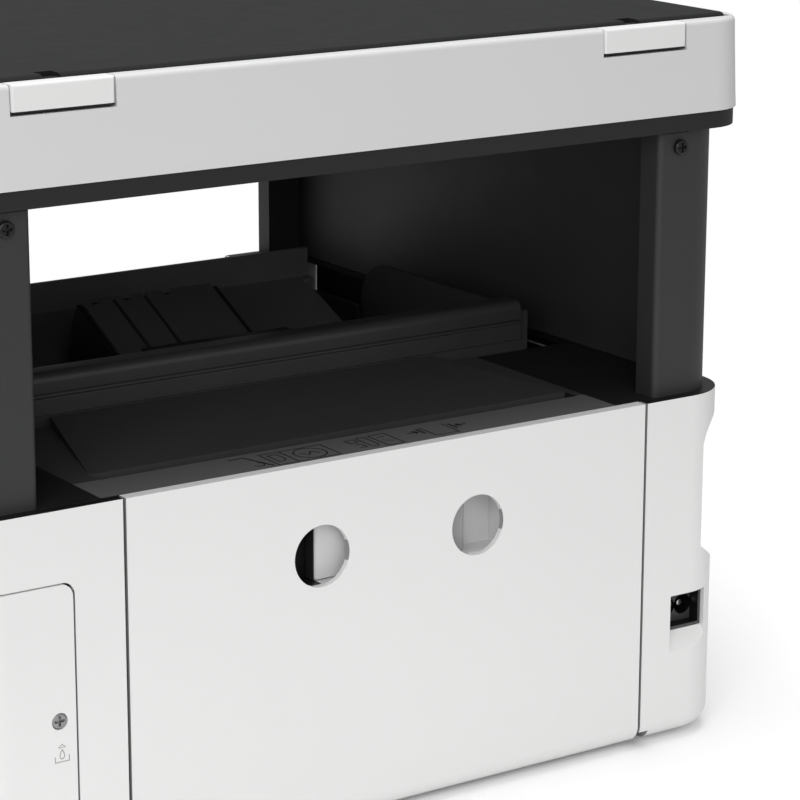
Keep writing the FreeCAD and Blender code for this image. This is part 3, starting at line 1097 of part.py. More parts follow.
def guide_pinion():
    """The small gear that keeps both edge guides centred."""
    low = CASSETTE_FLOOR_TOP + FIT
    step = 2 * math.pi / GUIDE_TEETH
    outline = []
    for tooth in range(GUIDE_TEETH):
        middle = step * tooth + math.pi / 2
        for radius, share in ((RACK_PITCH_RADIUS - 1.15 * GUIDE_MODULE, -0.3),
                              (RACK_PITCH_RADIUS + 0.8 * GUIDE_MODULE, -0.1),
                              (RACK_PITCH_RADIUS + 0.8 * GUIDE_MODULE, 0.1),
                              (RACK_PITCH_RADIUS - 1.15 * GUIDE_MODULE, 0.3)):
            angle = middle + share * step
            outline.append((radius * math.cos(angle), GUIDE_Y + radius * math.sin(angle)))
    gear = section_z(outline, low, low + RACK_HEIGHT - FIT)
    return gear.cut(rod_z(low - 1, low + RACK_HEIGHT, 0, GUIDE_Y, 3.0 + RUNNING_FIT))


def end_guide():
    """The length stop with its foot."""
    low = CASSETTE_FLOOR_TOP + FIT
    wall = block(-END_GUIDE_HALF, END_GUIDE_HALF, END_GUIDE_Y - GUIDE_THICKNESS, END_GUIDE_Y, low,
                 low + END_GUIDE_HEIGHT)
    corners = [e for e in wall.Edges if e.BoundBox.YLength > GUIDE_THICKNESS / 2
               and e.BoundBox.ZMin > low + END_GUIDE_HEIGHT - 1]
    foot = block(-END_GUIDE_HALF, END_GUIDE_HALF, END_GUIDE_Y - END_GUIDE_FOOT,
                 END_GUIDE_Y + GUIDE_THICKNESS,
                 low, low + GUIDE_THICKNESS)
    return fuse([foot, wall.makeFillet(END_GUIDE_CORNER, corners)])


def output_tray():
    """The sliding output tray with a slot for its extension and shallow ribs on top."""
    plate = block(-OUTPUT_HALF, OUTPUT_HALF, OUTPUT_FRONT_Y, OUTPUT_FRONT_Y + OUTPUT_LENGTH,
                  OUTPUT_BOTTOM_Z,
                  OUTPUT_BOTTOM_Z + OUTPUT_THICKNESS - 1)
    corners = [e for e in plate.Edges if e.BoundBox.ZMax - e.BoundBox.ZMin > 5
               and e.BoundBox.YMax < OUTPUT_FRONT_Y + 1]
    plate = plate.makeFillet(6.0, corners)
    ribs = [block(x - 1.5, x + 1.5, OUTPUT_FRONT_Y + 20, OUTPUT_FRONT_Y + OUTPUT_LENGTH - 4,
                  OUTPUT_BOTTOM_Z + OUTPUT_THICKNESS - 2, OUTPUT_BOTTOM_Z + OUTPUT_THICKNESS)
            for x in (-75.0, -25.0, 25.0, 75.0)]
    slot = block(-EXTENSION_HALF - FIT, EXTENSION_HALF + FIT, OUTPUT_FRONT_Y - 1,
                 OUTPUT_FRONT_Y + EXTENSION_LENGTH + 2 * FIT, EXTENSION_Z - FIT,
                 EXTENSION_Z + EXTENSION_THICKNESS + FIT)
    return fuse([plate] + ribs).cut(slot)


def output_extension():
    """The flat leaf that draws out of the output tray, with a rounded nose."""
    leaf = block(-EXTENSION_HALF, EXTENSION_HALF, OUTPUT_FRONT_Y, OUTPUT_FRONT_Y + EXTENSION_LENGTH,
                 EXTENSION_Z,
                 EXTENSION_Z + EXTENSION_THICKNESS)
    nose = [e for e in leaf.Edges if e.BoundBox.ZMax - e.BoundBox.ZMin > 1
            and e.BoundBox.YMax < OUTPUT_FRONT_Y + 1]
    leaf = leaf.makeFillet(8.0, nose)
    return leaf.cut(rod_z(EXTENSION_Z - 1, EXTENSION_Z + EXTENSION_THICKNESS + 1, 0, OUTPUT_FRONT_Y + 12,
                          7.0))


def control_panel():
    """The tilting front panel: rounded top on its pivot, display pocket and button wells."""
    rear_y = PANEL_FRONT_Y + PANEL_THICKNESS
    slab = block(-PANEL_HALF, PANEL_HALF, PANEL_FRONT_Y, rear_y, PANEL_LOW_Z, PANEL_PIVOT_Z)
    top = rod_x(-PANEL_HALF, PANEL_HALF, PANEL_PIVOT_Y, PANEL_PIVOT_Z, PANEL_THICKNESS / 2)
    pins = rod_x(-NECK_FRONT_HALF - 6, NECK_FRONT_HALF + 6, PANEL_PIVOT_Y, PANEL_PIVOT_Z, PANEL_PIN_RADIUS)
    panel = fuse([slab, top, pins])
    pocket = block(-DISPLAY_WIDTH / 2 - FIT, DISPLAY_WIDTH / 2 + FIT, PANEL_FRONT_Y - 1, PANEL_FRONT_Y + 3,
                   PANEL_MID_Z - DISPLAY_HEIGHT / 2 - FIT, PANEL_MID_Z + DISPLAY_HEIGHT / 2 + FIT)
    panel = panel.cut(pocket)
    for x in BUTTON_X:
        panel = panel.cut(rod_y(PANEL_FRONT_Y - 1, PANEL_FRONT_Y + 6, x, PANEL_MID_Z, BUTTON_RADIUS + FIT))
    return panel


def panel_display():
    pane = block(-DISPLAY_WIDTH / 2, DISPLAY_WIDTH / 2, PANEL_FRONT_Y + 0.4, PANEL_FRONT_Y + 3,
                 PANEL_MID_Z - DISPLAY_HEIGHT / 2, PANEL_MID_Z + DISPLAY_HEIGHT / 2)
    return pane


def panel_button(x):
    """A round key with a softened face."""
    front = PANEL_FRONT_Y - BUTTON_TRAVEL
    key = rod_y(front, PANEL_FRONT_Y + 6 - BUTTON_TRAVEL - FIT, x, PANEL_MID_Z, BUTTON_RADIUS)
    return key.makeFillet(1.0, [e for e in key.Edges if e.BoundBox.YMax < front + 0.01])


def ink_tanks():
    """Four tank chambers in a row with their filler caps and the ears of the cover hinge."""
    pitch = (TANK_REAR_Y - TANK_FRONT_Y) / TANK_COUNT
    solids = []
    for index in range(TANK_COUNT):
        y0 = TANK_FRONT_Y + pitch * index
        tank = block(TANK_X_MIN, TANK_X_MAX, y0, y0 + pitch - 0.6, BASE_FLOOR_TOP, TANK_TOP_Z)
        tank = tank.fuse(block(TANK_X_MIN + 4, TANK_X_MAX - 4, y0 + pitch - 1, y0 + pitch,
                               BASE_FLOOR_TOP + 4, TANK_TOP_Z - 4))
        cap = rod_z(TANK_TOP_Z - 0.5, TANK_TOP_Z + CAP_HEIGHT, (TANK_X_MIN + TANK_X_MAX) / 2,
                    y0 + pitch / 2, CAP_RADIUS)
        solids.append(tank)
        solids.append(cap.makeFillet(1.5, edges_at_z(cap, TANK_TOP_Z + CAP_HEIGHT)))
    ears = []
    for x in (TANK_X_MIN, TANK_X_MAX - WALL):
        ears.append(block(x, x + WALL, TANK_REAR_Y - 6, TANK_REAR_Y - 0.6, TANK_TOP_Z - 4,
                          TANK_PIVOT_Z + 3))
    hole = rod_x(TANK_X_MIN - 1, TANK_X_MAX + 1, TANK_PIVOT_Y, TANK_PIVOT_Z, TANK_PIN_RADIUS + RUNNING_FIT)
    return fuse(solids + ears).cut(hole)


def tank_cover():
    """The lid over the filler caps, hinged at its rear edge."""
    x0 = TANK_X_MIN + WALL + FIT
    x1 = TANK_X_MAX - WALL - FIT
    lid = block(x0, x1, TANK_FRONT_Y, TANK_PIVOT_Y, TANK_PIVOT_Z - TANK_COVER_THICKNESS / 2,
                TANK_PIVOT_Z + TANK_COVER_THICKNESS / 2)
    knuckle = rod_x(x0, x1, TANK_PIVOT_Y, TANK_PIVOT_Z, TANK_PIN_RADIUS + 1)
    pin = rod_x(TANK_X_MIN, TANK_X_MAX, TANK_PIVOT_Y, TANK_PIVOT_Z, TANK_PIN_RADIUS)
    lip = block(x0, x1, TANK_FRONT_Y, TANK_FRONT_Y + 2, TANK_PIVOT_Z - 4, TANK_PIVOT_Z)
    return fuse([lid, knuckle, pin, lip])


def power_inlet():
    """The mains socket: a dark box that follows the corner, with a two-lobed well and two pins."""
    back = REAR_Y - INLET_DEPTH
    face = back + SOCKET_DEPTH
    mid_x = (INLET_X_MIN + INLET_X_MAX) / 2
    mid_z = (INLET_SOCKET_Z + INLET_Z_MAX) / 2
    front = REAR_Y - INLET_RAMP
    box = block(INLET_X_MIN + FIT, INLET_X_MAX - FIT, back, front, INLET_SOCKET_Z + FIT, INLET_Z_MAX - FIT)
    box = box.common(body_plan(SOCKET_WALL, 0, BODY_TOP))
    mouth = block(INLET_X_MIN + FIT + SOCKET_WALL, INLET_X_MAX - FIT - SOCKET_WALL, face, front + 1,
                  INLET_SOCKET_Z + FIT + SOCKET_WALL, INLET_Z_MAX - FIT - SOCKET_WALL)
    socket = box.cut(mouth)
    lobes = [(mid_x - SOCKET_LOBE, mid_z), (mid_x + SOCKET_LOBE, mid_z)]
    for x, z in lobes:
        socket = socket.cut(rod_y(back + 3, face + 1, x, z, SOCKET_LOBE + RUNNING_FIT))
    pins = [rod_y(back + 2, face - 2, x, z, SOCKET_PIN_RADIUS) for x, z in lobes]
    return fuse([socket] + pins)


def power_supply():
    """The closed power unit that stands on the floor pan beside the inlet."""
    x0 = -BODY_HALF + SUPPLY_INSET
    case = block(x0, x0 + SUPPLY_WIDTH, FRAME_REAR_Y + SUPPLY_GAP, REAR_Y - INLET_DEPTH - 2 * WALL,
                 BASE_FLOOR_TOP, SUPPLY_TOP_Z)
    upright = [e for e in case.Edges if e.BoundBox.ZLength > SUPPLY_TOP_Z / 2]
    return case.makeFillet(SUPPLY_CORNER, upright)


def main_board():
    """The circuit board on standoffs beside the right side plate."""
    face = FRAME_OUTER + BOARD_STANDOFF
    top = BOARD_BOTTOM_Z + BOARD_HEIGHT
    board = block(face, face + BOARD_THICKNESS, BOARD_FRONT_Y, BOARD_REAR_Y, BOARD_BOTTOM_Z, top)
    posts = [rod_x(FRAME_OUTER, face + BOARD_THICKNESS / 2, y, z, BOARD_POST_RADIUS)
             for y in (BOARD_FRONT_Y + BOARD_STANDOFF, BOARD_REAR_Y - BOARD_STANDOFF)
             for z in (BOARD_BOTTOM_Z + BOARD_STANDOFF, top - BOARD_STANDOFF)]
    chips = []
    for share_y, share_z, size in BOARD_CHIPS:
        y = BOARD_FRONT_Y + share_y * (BOARD_REAR_Y - BOARD_FRONT_Y)
        z = BOARD_BOTTOM_Z + share_z * BOARD_HEIGHT
        chips.append(block(face, face + 2 * BOARD_THICKNESS, y, y + size, z, z + size))
    return fuse([board] + posts + chips)


def scanner_plan(inset, z0, z1):
    """An upright block on the scanner's plan, set in evenly."""
    return round_plan(SCANNER_HALF - inset, FRONT_Y + inset, REAR_Y - inset, SCANNER_FRONT_RADIUS - inset,
                      SCANNER_REAR_RADIUS - inset, z0, z1)


def plan_wire(inset, z):
    """The scanner's outline at one height."""
    slab = scanner_plan(inset, z, z + 1)
    lowest = min(slab.Faces, key=lambda face: face.CenterOfMass.z)
    return lowest.OuterWire


def scanner_base():
    """The dark lower tub of the scanner with slots and pins for the pillar lugs."""
    tub = scanner_plan(1.0, SCANNER_BOTTOM, SCANNER_SPLIT)
    tub = tub.cut(scanner_plan(7.0, SCANNER_BOTTOM + WALL, SCANNER_SPLIT + 1))
    half = SCANNER_LUG_WIDTH / 2
    floor_y = SCANNER_PIVOT_Y - 10
    for side in (-1, 1):
        x = side * SCANNER_LUG_X
        seat = block(x - half - 4, x + half + 4, floor_y, REAR_Y - 1.5, SCANNER_BOTTOM, SCANNER_SPLIT)
        slot = block(x - half - FIT, x + half + FIT, floor_y + 2,
                     SCANNER_PIVOT_Y + SCANNER_LUG_RADIUS + 2 * FIT,
                     SCANNER_BOTTOM - 1, SCANNER_SPLIT + 1)
        pin = rod_x(x - half - 2, x + half + 2, SCANNER_PIVOT_Y, SCANNER_PIVOT_Z, SCANNER_PIN_RADIUS)
        tub = tub.fuse(seat.common(scanner_plan(1.0, SCANNER_BOTTOM, SCANNER_SPLIT))).cut(slot).fuse(pin)
    blocks = [block(x - 5, x + 5, -8, 8, SCANNER_BOTTOM, SCAN_ROD_Z + 5)
              for x in (-SCANNER_HALF + 16, SCANNER_HALF - 16)]
    rod_hole = rod_x(-SCANNER_HALF, SCANNER_HALF, 0, SCAN_ROD_Z, SCAN_ROD_RADIUS)
    return fuse([tub] + blocks).cut(rod_hole)


def hinge_blocks(grow):
    """The places of the two hinge covers on the scanner's rear edge."""
    low, high = HINGE_COVER_X
    rear = REAR_Y - SCANNER_DRAFT + HINGE_COVER_PROUD
    right = block(low - grow, high + grow, LID_REAR_Y + LID_GAP - (1 if grow else 0),
                  rear + (5 if grow else 0),
                  HINGE_COVER_Z - grow, SCANNER_TOP + (1 if grow else 0))
    return right, mirror_x(right)


def scanner_frame():
    """The white upper frame: drafted walls, a deck with the glass seat and a well for the lid."""
    solid = Part.makeLoft([plan_wire(0.0, SCANNER_SPLIT), plan_wire(SCANNER_DRAFT, SCANNER_TOP)], True,
                          True)
    solid = solid.makeFillet(SCANNER_TOP_ROUND, edges_at_z(solid, SCANNER_TOP))
    under = scanner_plan(SCANNER_DRAFT + 3.0, SCANNER_SPLIT - 1, DECK_TOP_Z - DECK_THICKNESS)
    well = round_plan(LID_HALF + LID_GAP, FRONT_Y - 1, LID_REAR_Y + LID_GAP, WELL_CORNER, WELL_CORNER,
                      DECK_TOP_Z, LID_TOP + 1)
    seat = block(-GLASS_HALF_X - FIT, GLASS_HALF_X + FIT, -GLASS_HALF_Y - FIT, GLASS_HALF_Y + FIT,
                 DECK_TOP_Z - GLASS_THICKNESS, DECK_TOP_Z + 1)
    light = block(-GLASS_HALF_X + 5, GLASS_HALF_X - 5, -GLASS_HALF_Y + 5, GLASS_HALF_Y - 5,
                  DECK_TOP_Z - DECK_THICKNESS - 1, DECK_TOP_Z + 1)
    frame = solid.cut(under).cut(well).cut(seat).cut(light)
    for pocket in hinge_blocks(SEAM / 2):
        frame = frame.cut(pocket)
    return frame


def scanner_glass():
    return block(-GLASS_HALF_X, GLASS_HALF_X, -GLASS_HALF_Y, GLASS_HALF_Y, DECK_TOP_Z - GLASS_THICKNESS,
                 DECK_TOP_Z)


def scan_rail():
    return rod_x(-SCANNER_HALF + 11, SCANNER_HALF - 11, 0, SCAN_ROD_Z, SCAN_ROD_RADIUS)


def scan_bar():
    """The moving sensor bar on its rod."""
    x0 = SCAN_HOME_X - SCAN_BAR_WIDTH / 2
    x1 = SCAN_HOME_X + SCAN_BAR_WIDTH / 2
    low = SCAN_ROD_Z - 1
    bar = block(x0, x1, -GLASS_HALF_Y + 7, GLASS_HALF_Y - 7, low + 3, low + 3 + SCAN_BAR_HEIGHT)
    hub = block(x0, x1, -9, 9, SCAN_ROD_Z - 6, low + 5)
    return fuse([bar, hub]).cut(rod_x(x0 - 1, x1 + 1, 0, SCAN_ROD_Z, SCAN_ROD_RADIUS + RUNNING_FIT))


def lid_hinge_covers():
    """The white hinge covers, each with a lug and pin that carry the lid."""
    covers = []
    for side, shell in zip((1, -1), hinge_blocks(0)):
        x = side * HINGE_LUG_X
        upright = [e for e in shell.Edges if e.BoundBox.YMin > LID_REAR_Y + LID_GAP + 1]
        shell = shell.makeFillet(1.2, upright)
        half = HINGE_LUG_WIDTH / 2
        lug = block(x - half, x + half, LID_PIVOT_Y, LID_REAR_Y + LID_GAP + 2, LID_PIVOT_Z - 3,
                    LID_PIVOT_Z + 3)
        nose = rod_x(x - half, x + half, LID_PIVOT_Y, LID_PIVOT_Z, 3)
        pin = rod_x(x - HINGE_PIN_REACH, x + HINGE_PIN_REACH, LID_PIVOT_Y, LID_PIVOT_Z, HINGE_PIN_RADIUS)
        covers.append(fuse([shell, lug, nose, pin]))
    return Part.makeCompound(covers)


def document_lid():
    """The dark flat lid with a half-round rear edge that turns on the hinge pins."""
    plate = round_plan(LID_HALF, FRONT_Y + SCANNER_DRAFT, LID_REAR_Y, SCANNER_FRONT_RADIUS - SCANNER_DRAFT,
                       LID_CORNER, LID_BOTTOM_Z, LID_TOP)
    plate = plate.makeFillet(1.5, edges_at_z(plate, LID_TOP))
    keep = block(-LID_HALF - 1, LID_HALF + 1, FRONT_Y - 1, LID_PIVOT_Y, LID_BOTTOM_Z - 1, LID_TOP + 1)
    rear_round = rod_x(-LID_HALF - 1, LID_HALF + 1, LID_PIVOT_Y, LID_PIVOT_Z, LID_THICKNESS / 2)
    lid = plate.common(keep.fuse(rear_round))
    half = HINGE_LUG_WIDTH / 2 + 2 * FIT
    for side in (-1, 1):
        x = side * HINGE_LUG_X
        notch = block(x - half, x + half, LID_PIVOT_Y - 5, REAR_Y, LID_BOTTOM_Z - 1, LID_TOP + 1)
        bore = rod_x(x - HINGE_PIN_REACH - FIT, x + HINGE_PIN_REACH + FIT, LID_PIVOT_Y, LID_PIVOT_Z,
                     HINGE_PIN_RADIUS + RUNNING_FIT)
        lid = lid.cut(notch).cut(bore)
    return lid


def lid_pad():
    """The white pad under the lid."""
    return block(-GLASS_HALF_X + 2, GLASS_HALF_X - 2, -GLASS_HALF_Y + 2, GLASS_HALF_Y - 2,
                 LID_BOTTOM_Z - PAD_THICKNESS, LID_BOTTOM_Z)


PIECES = {
    "base_tray": base_tray,
    "rubber_feet": rubber_feet,
    "left_side_shell": left_side_shell,
    "right_side_shell": right_side_shell,
    "front_fascia": front_fascia,
    "left_neck_pillar": lambda: neck_pillar(-1),
    "right_neck_pillar": lambda: neck_pillar(1),
    "rear_feed_chute": rear_feed_chute,
    "main_frame": main_frame,
    "carriage_rail": carriage_rail,
    "platen": platen,
    "cap_station": cap_station,
    "exit_frame": exit_frame,
    "front_beam": front_beam,
    "power_inlet": power_inlet,
    "power_supply": power_supply,
    "main_board": main_board,
    "maintenance_cover": maintenance_cover,
    "maintenance_box": maintenance_box,
    "phillips_screws": phillips_screws,
    "carriage_motor": carriage_motor,
    "feed_motor": feed_motor,
    "encoder_strip": encoder_strip,
    "ink_tanks": ink_tanks,
    "timing_belt": timing_belt,
    "scanner_base": scanner_base,
    "scanner_frame": scanner_frame,
    "scanner_glass": scanner_glass,
    "scan_rail": scan_rail,
    "lid_hinge_covers": lid_hinge_covers,
    "scan_bar": scan_bar,
    "document_lid": document_lid,
    "lid_pad": lid_pad,
    "print_carriage": print_carriage,
    "print_head": print_head,
    "carriage_straps": carriage_straps,
    "drive_pulley": drive_pulley,
    "idler_pulley": idler_pulley,
    "feed_roller": feed_roller,
    "exit_roller": exit_roller,
    "star_wheels": star_wheels,
    "pinch_rollers": pinch_rollers,
    "motor_pinion": motor_pinion,
    "idler_gear": idler_gear,
    "cassette_tray": cassette_tray,
    "left_edge_guide": lambda: edge_guide(-1),
    "right_edge_guide": lambda: edge_guide(1),
    "guide_pinion": guide_pinion,
    "end_guide": end_guide,
    "output_tray": output_tray,
    "output_extension": output_extension,
    "control_panel": control_panel,
    "panel_display": panel_display,
    "power_button": lambda: panel_button(BUTTON_X[0]),
    "start_button": lambda: panel_button(BUTTON_X[1]),
    "tank_cover": tank_cover,
    "rear_cover": rear_cover,
    "left_latch": lambda: latch(-1),
    "right_latch": lambda: latch(1),
    "duplex_roller": duplex_roller,
}

os.makedirs("parts", exist_ok=True)
for piece_name, make_piece in PIECES.items():
    piece = make_piece()
    print(piece_name, len(piece.Solids), piece.isValid(), round(piece.Volume))
    save(piece_name, piece)
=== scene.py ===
"""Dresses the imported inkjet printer: finishes, softened shells, moulded marks and the studio."""

from __future__ import annotations

import json
import logging
import math
from dataclasses import dataclass, field
from enum import Enum
from typing import Callable, Iterable, Sequence

import bmesh
import bpy
from mathutils import Matrix, Vector

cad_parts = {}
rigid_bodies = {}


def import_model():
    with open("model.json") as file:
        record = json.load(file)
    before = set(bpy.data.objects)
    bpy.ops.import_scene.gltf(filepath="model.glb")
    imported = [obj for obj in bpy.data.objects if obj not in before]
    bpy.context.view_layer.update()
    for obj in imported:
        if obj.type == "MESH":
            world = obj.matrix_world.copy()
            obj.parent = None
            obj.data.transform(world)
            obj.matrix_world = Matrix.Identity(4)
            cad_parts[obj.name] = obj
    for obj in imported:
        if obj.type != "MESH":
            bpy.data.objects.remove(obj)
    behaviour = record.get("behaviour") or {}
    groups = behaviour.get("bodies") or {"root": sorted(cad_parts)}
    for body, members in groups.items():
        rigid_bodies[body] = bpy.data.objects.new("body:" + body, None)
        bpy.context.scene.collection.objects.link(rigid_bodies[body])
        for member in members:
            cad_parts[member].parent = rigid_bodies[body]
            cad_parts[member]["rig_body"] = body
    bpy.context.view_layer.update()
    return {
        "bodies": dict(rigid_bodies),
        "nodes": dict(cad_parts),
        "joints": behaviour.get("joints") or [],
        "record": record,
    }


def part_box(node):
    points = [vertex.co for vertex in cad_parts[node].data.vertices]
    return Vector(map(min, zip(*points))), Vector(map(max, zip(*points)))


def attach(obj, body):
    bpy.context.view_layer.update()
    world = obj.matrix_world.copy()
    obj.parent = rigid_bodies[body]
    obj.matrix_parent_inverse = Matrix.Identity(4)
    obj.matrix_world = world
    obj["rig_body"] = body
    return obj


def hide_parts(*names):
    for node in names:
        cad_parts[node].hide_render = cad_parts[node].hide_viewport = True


LOG = logging.getLogger("printer")
MM = 0.001
FAR = math.inf
FULL_TURN = 360.0
Rgb = tuple[float, float, float]
Point = tuple[float, float, float]
Pair = tuple[float, float]


class Axis(Enum):
    """The three axes, as indices of a vector."""

    X = 0
    Y = 1
    Z = 2


class Wave:
    """A shader value: an output socket with the operators that the finishes use."""

    def __init__(self, graph: "Graph", socket: bpy.types.NodeSocket) -> None:
        """Keep the socket and the graph that owns it."""
        self.graph = graph
        self.socket = socket

    def _math(self, operation: str, first: object, second: object) -> "Wave":
        """Add one Math node on two values."""
        return self.graph.add("ShaderNodeMath", {"operation": operation}, {0: first, 1: second})

    def __add__(self, other: object) -> "Wave":
        """Sum of two values."""
        return self._math("ADD", self, other)

    __radd__ = __add__

    def __sub__(self, other: object) -> "Wave":
        """Difference of two values."""
        return self._math("SUBTRACT", self, other)

    def __rsub__(self, other: object) -> "Wave":
        """Difference with this value taken away."""
        return self._math("SUBTRACT", other, self)

    def __mul__(self, other: object) -> "Wave":
        """Product of two values."""
        return self._math("MULTIPLY", self, other)

    __rmul__ = __mul__

    def __or__(self, other: "Wave") -> "Wave":
        """The larger of two masks, so that either one counts."""
        return self._math("MAXIMUM", self, other)

    def ramp(self, low: float, high: float) -> "Wave":
        """Zero below low, one above high and straight between."""
        return self.graph.add("ShaderNodeMapRange", {"clamp": True},
                              {"Value": self, "From Min": low, "From Max": high})


class Graph:
    """A node tree whose shader values all come from one method."""

    def __init__(self, tree: bpy.types.NodeTree) -> None:
        """Keep the tree."""
        self.tree = tree

    def add(self, kind: str, settings: dict, inputs: dict, output: str | int = 0) -> Wave:
        """Add one node.

        Args:
            kind: The node's type.
            settings: Attributes that are set before its sockets.
            inputs: Values or links, by socket name or index.
            output: The output socket to return.

        Returns:
            The chosen output as a shader value.
        """
        node = self.tree.nodes.new(kind)
        for name, value in settings.items():
            setattr(node, name, value)
        for name, value in inputs.items():
            self.connect(node.inputs[name], value)
        return Wave(self, node.outputs[output])

    def connect(self, socket: bpy.types.NodeSocket, value: object) -> None:
        """Link a shader value to a socket, or set a plain one."""
        if isinstance(value, Wave):
            self.tree.links.new(value.socket, socket)
        else:
            socket.default_value = value

    def mix(self, low: Rgb, high: Rgb, share: Wave) -> Wave:
        """A colour between two by a share."""
        return self.add("ShaderNodeMix", {"data_type": "RGBA"},
                        {"Factor": share, 6: (*low, 1.0), 7: (*high, 1.0)}, 2)

    def place(self) -> Wave:
        """The piece's own coordinates, in metres of the shared frame."""
        return self.add("ShaderNodeTexCoord", {}, {}, "Object")

    def ray(self, kind: str) -> Wave:
        """One for rays of a kind, else zero."""
        return self.add("ShaderNodeLightPath", {}, {}, kind)

    def noise(self, scale: float, detail: float = 2.0, stretch: Point = (1.0, 1.0, 1.0)) -> Wave:
        """Soft noise at a scale per metre, stretched along the axes."""
        where = self.add("ShaderNodeVectorMath", {"operation": "MULTIPLY"}, {0: self.place(), 1: stretch})
        return self.add("ShaderNodeTexNoise", {}, {"Vector": where, "Scale": scale, "Detail": detail})

    def around(self, middle: float, swing: float, share: Wave) -> Wave:
        """A value that strays from its middle by half a swing each way."""
        return middle - swing / 2 + swing * share

    def bump(self, height: Wave, distance: float, strength: float) -> Wave:
        """A bump of a given depth in metres."""
        return self.add("ShaderNodeBump", {}, {"Height": height, "Distance": distance, "Strength": strength})


class FinishGraph(Graph):
    """One material's node tree, closed by a Principled shader."""

    def __init__(self, name: str) -> None:
        """Start a material with an empty tree."""
        self.material = bpy.data.materials.new(name)
        self.material.use_nodes = True
        super().__init__(self.material.node_tree)
        self.tree.nodes.clear()

    def surface(self, **values: object) -> bpy.types.Material:
        """Add the shader with its sockets, spelt with underscores, and return the material."""
        sockets = {name.replace("_", " "): value for name, value in values.items()}
        shader = self.add("ShaderNodeBsdfPrincipled", {}, sockets, "BSDF")
        output = self.tree.nodes.new("ShaderNodeOutputMaterial")
        self.connect(output.inputs["Surface"], shader)
        return self.material


def shade(colour: Rgb, factor: float) -> Rgb:
    """A colour made lighter or darker by a factor."""
    return tuple(min(channel * factor, 1.0) for channel in colour)


@dataclass(frozen=True)
class MouldedPlastic:
    """Injection moulded plastic: a fine spark-eroded grain with slow changes of tone and gloss."""

    name: str
    colour: Rgb
    roughness: float = 0.5
    grain_scale: float = 2600.0
    grain_depth: float = 0.00006
    grain_strength: float = 0.18
    tone: float = 0.03
    coat: float = 0.0
    specular: float = 0.5
    drift_scale: float = 9.0
    rub_scale: float = 85.0
    gloss_swing: float = 0.1
    ior: float = 1.47

    def build(self) -> bpy.types.Material:
        """Make the material."""
        graph = FinishGraph(self.name)
        drift = graph.noise(self.drift_scale, detail=3.0)
        grain = graph.noise(self.grain_scale, detail=2.0)
        rub = graph.noise(self.rub_scale, detail=4.0)
        colour = graph.mix(shade(self.colour, 1 - self.tone), shade(self.colour, 1 + self.tone), drift)
        gloss = graph.around(self.roughness, self.gloss_swing, rub)
        normal = graph.bump(grain, self.grain_depth, self.grain_strength)
        return graph.surface(Base_Color=colour, Roughness=gloss, Normal=normal, IOR=self.ior,
                             Coat_Weight=self.coat, Specular_IOR_Level=self.specular)


@dataclass(frozen=True)
class RolledSteel:
    """Plated or coated sheet steel with a drawn grain along one axis."""

    name: str
    colour: Rgb
    roughness: float = 0.35
    metallic: float = 1.0
    along: Axis = Axis.X
    line_scale: float = 2200.0
    line_squeeze: float = 0.03
    line_depth: float = 0.00004
    line_strength: float = 0.25
    patch_scale: float = 45.0
    dull: float = 0.86
    bright: float = 1.1
    gloss_swing: float = 0.16

    def build(self) -> bpy.types.Material:
        """Make the material."""
        graph = FinishGraph(self.name)
        stretch = [1.0, 1.0, 1.0]
        stretch[self.along.value] = self.line_squeeze
        lines = graph.noise(self.line_scale, 3.0, tuple(stretch))
        patches = graph.noise(self.patch_scale, detail=4.0)
        colour = graph.mix(shade(self.colour, self.dull), shade(self.colour, self.bright), patches)
        gloss = graph.around(self.roughness, self.gloss_swing, lines)
        return graph.surface(Base_Color=colour, Roughness=gloss, Metallic=self.metallic,
                             Normal=graph.bump(lines, self.line_depth, self.line_strength))


@dataclass(frozen=True)
class GroundRubber:
    """Rubber with a dull, slightly pitted face."""

    name: str
    colour: Rgb
    roughness: float = 0.82
    pit_scale: float = 1900.0
    pit_depth: float = 0.0001
    pit_strength: float = 0.4
    dust_scale: float = 120.0
    clean: float = 0.8
    dusty: float = 1.5
    gloss_swing: float = 0.12

    def build(self) -> bpy.types.Material:
        """Make the material."""
        graph = FinishGraph(self.name)
        where = {"Vector": graph.place(), "Scale": self.pit_scale}
        pits = graph.add("ShaderNodeTexVoronoi", {}, where, "Distance")
        dust = graph.noise(self.dust_scale, detail=4.0)
        colour = graph.mix(shade(self.colour, self.clean), shade(self.colour, self.dusty), dust)
        gloss = graph.around(self.roughness, self.gloss_swing, dust)
        return graph.surface(Base_Color=colour, Roughness=gloss,
                             Normal=graph.bump(pits, self.pit_depth, self.pit_strength))


@dataclass(frozen=True)
class ClearPane:
    """A clear or tinted pane with faint smears on its face."""

    name: str
    colour: Rgb
    roughness: float = 0.03
    ior: float = 1.5
    smear_scale: float = 30.0
    smear_stretch: Point = (1.0, 3.0, 1.0)
    smear_gloss: float = 0.05
    smear_shade: float = 0.96

    def build(self) -> bpy.types.Material:
        """Make the material."""
        graph = FinishGraph(self.name)
        smear = graph.noise(self.smear_scale, 5.0, self.smear_stretch)
        colour = graph.mix(shade(self.colour, self.smear_shade), self.colour, smear)
        gloss = self.roughness + self.smear_gloss * smear
        return graph.surface(Base_Color=colour, Roughness=gloss, IOR=self.ior, Transmission_Weight=1.0)


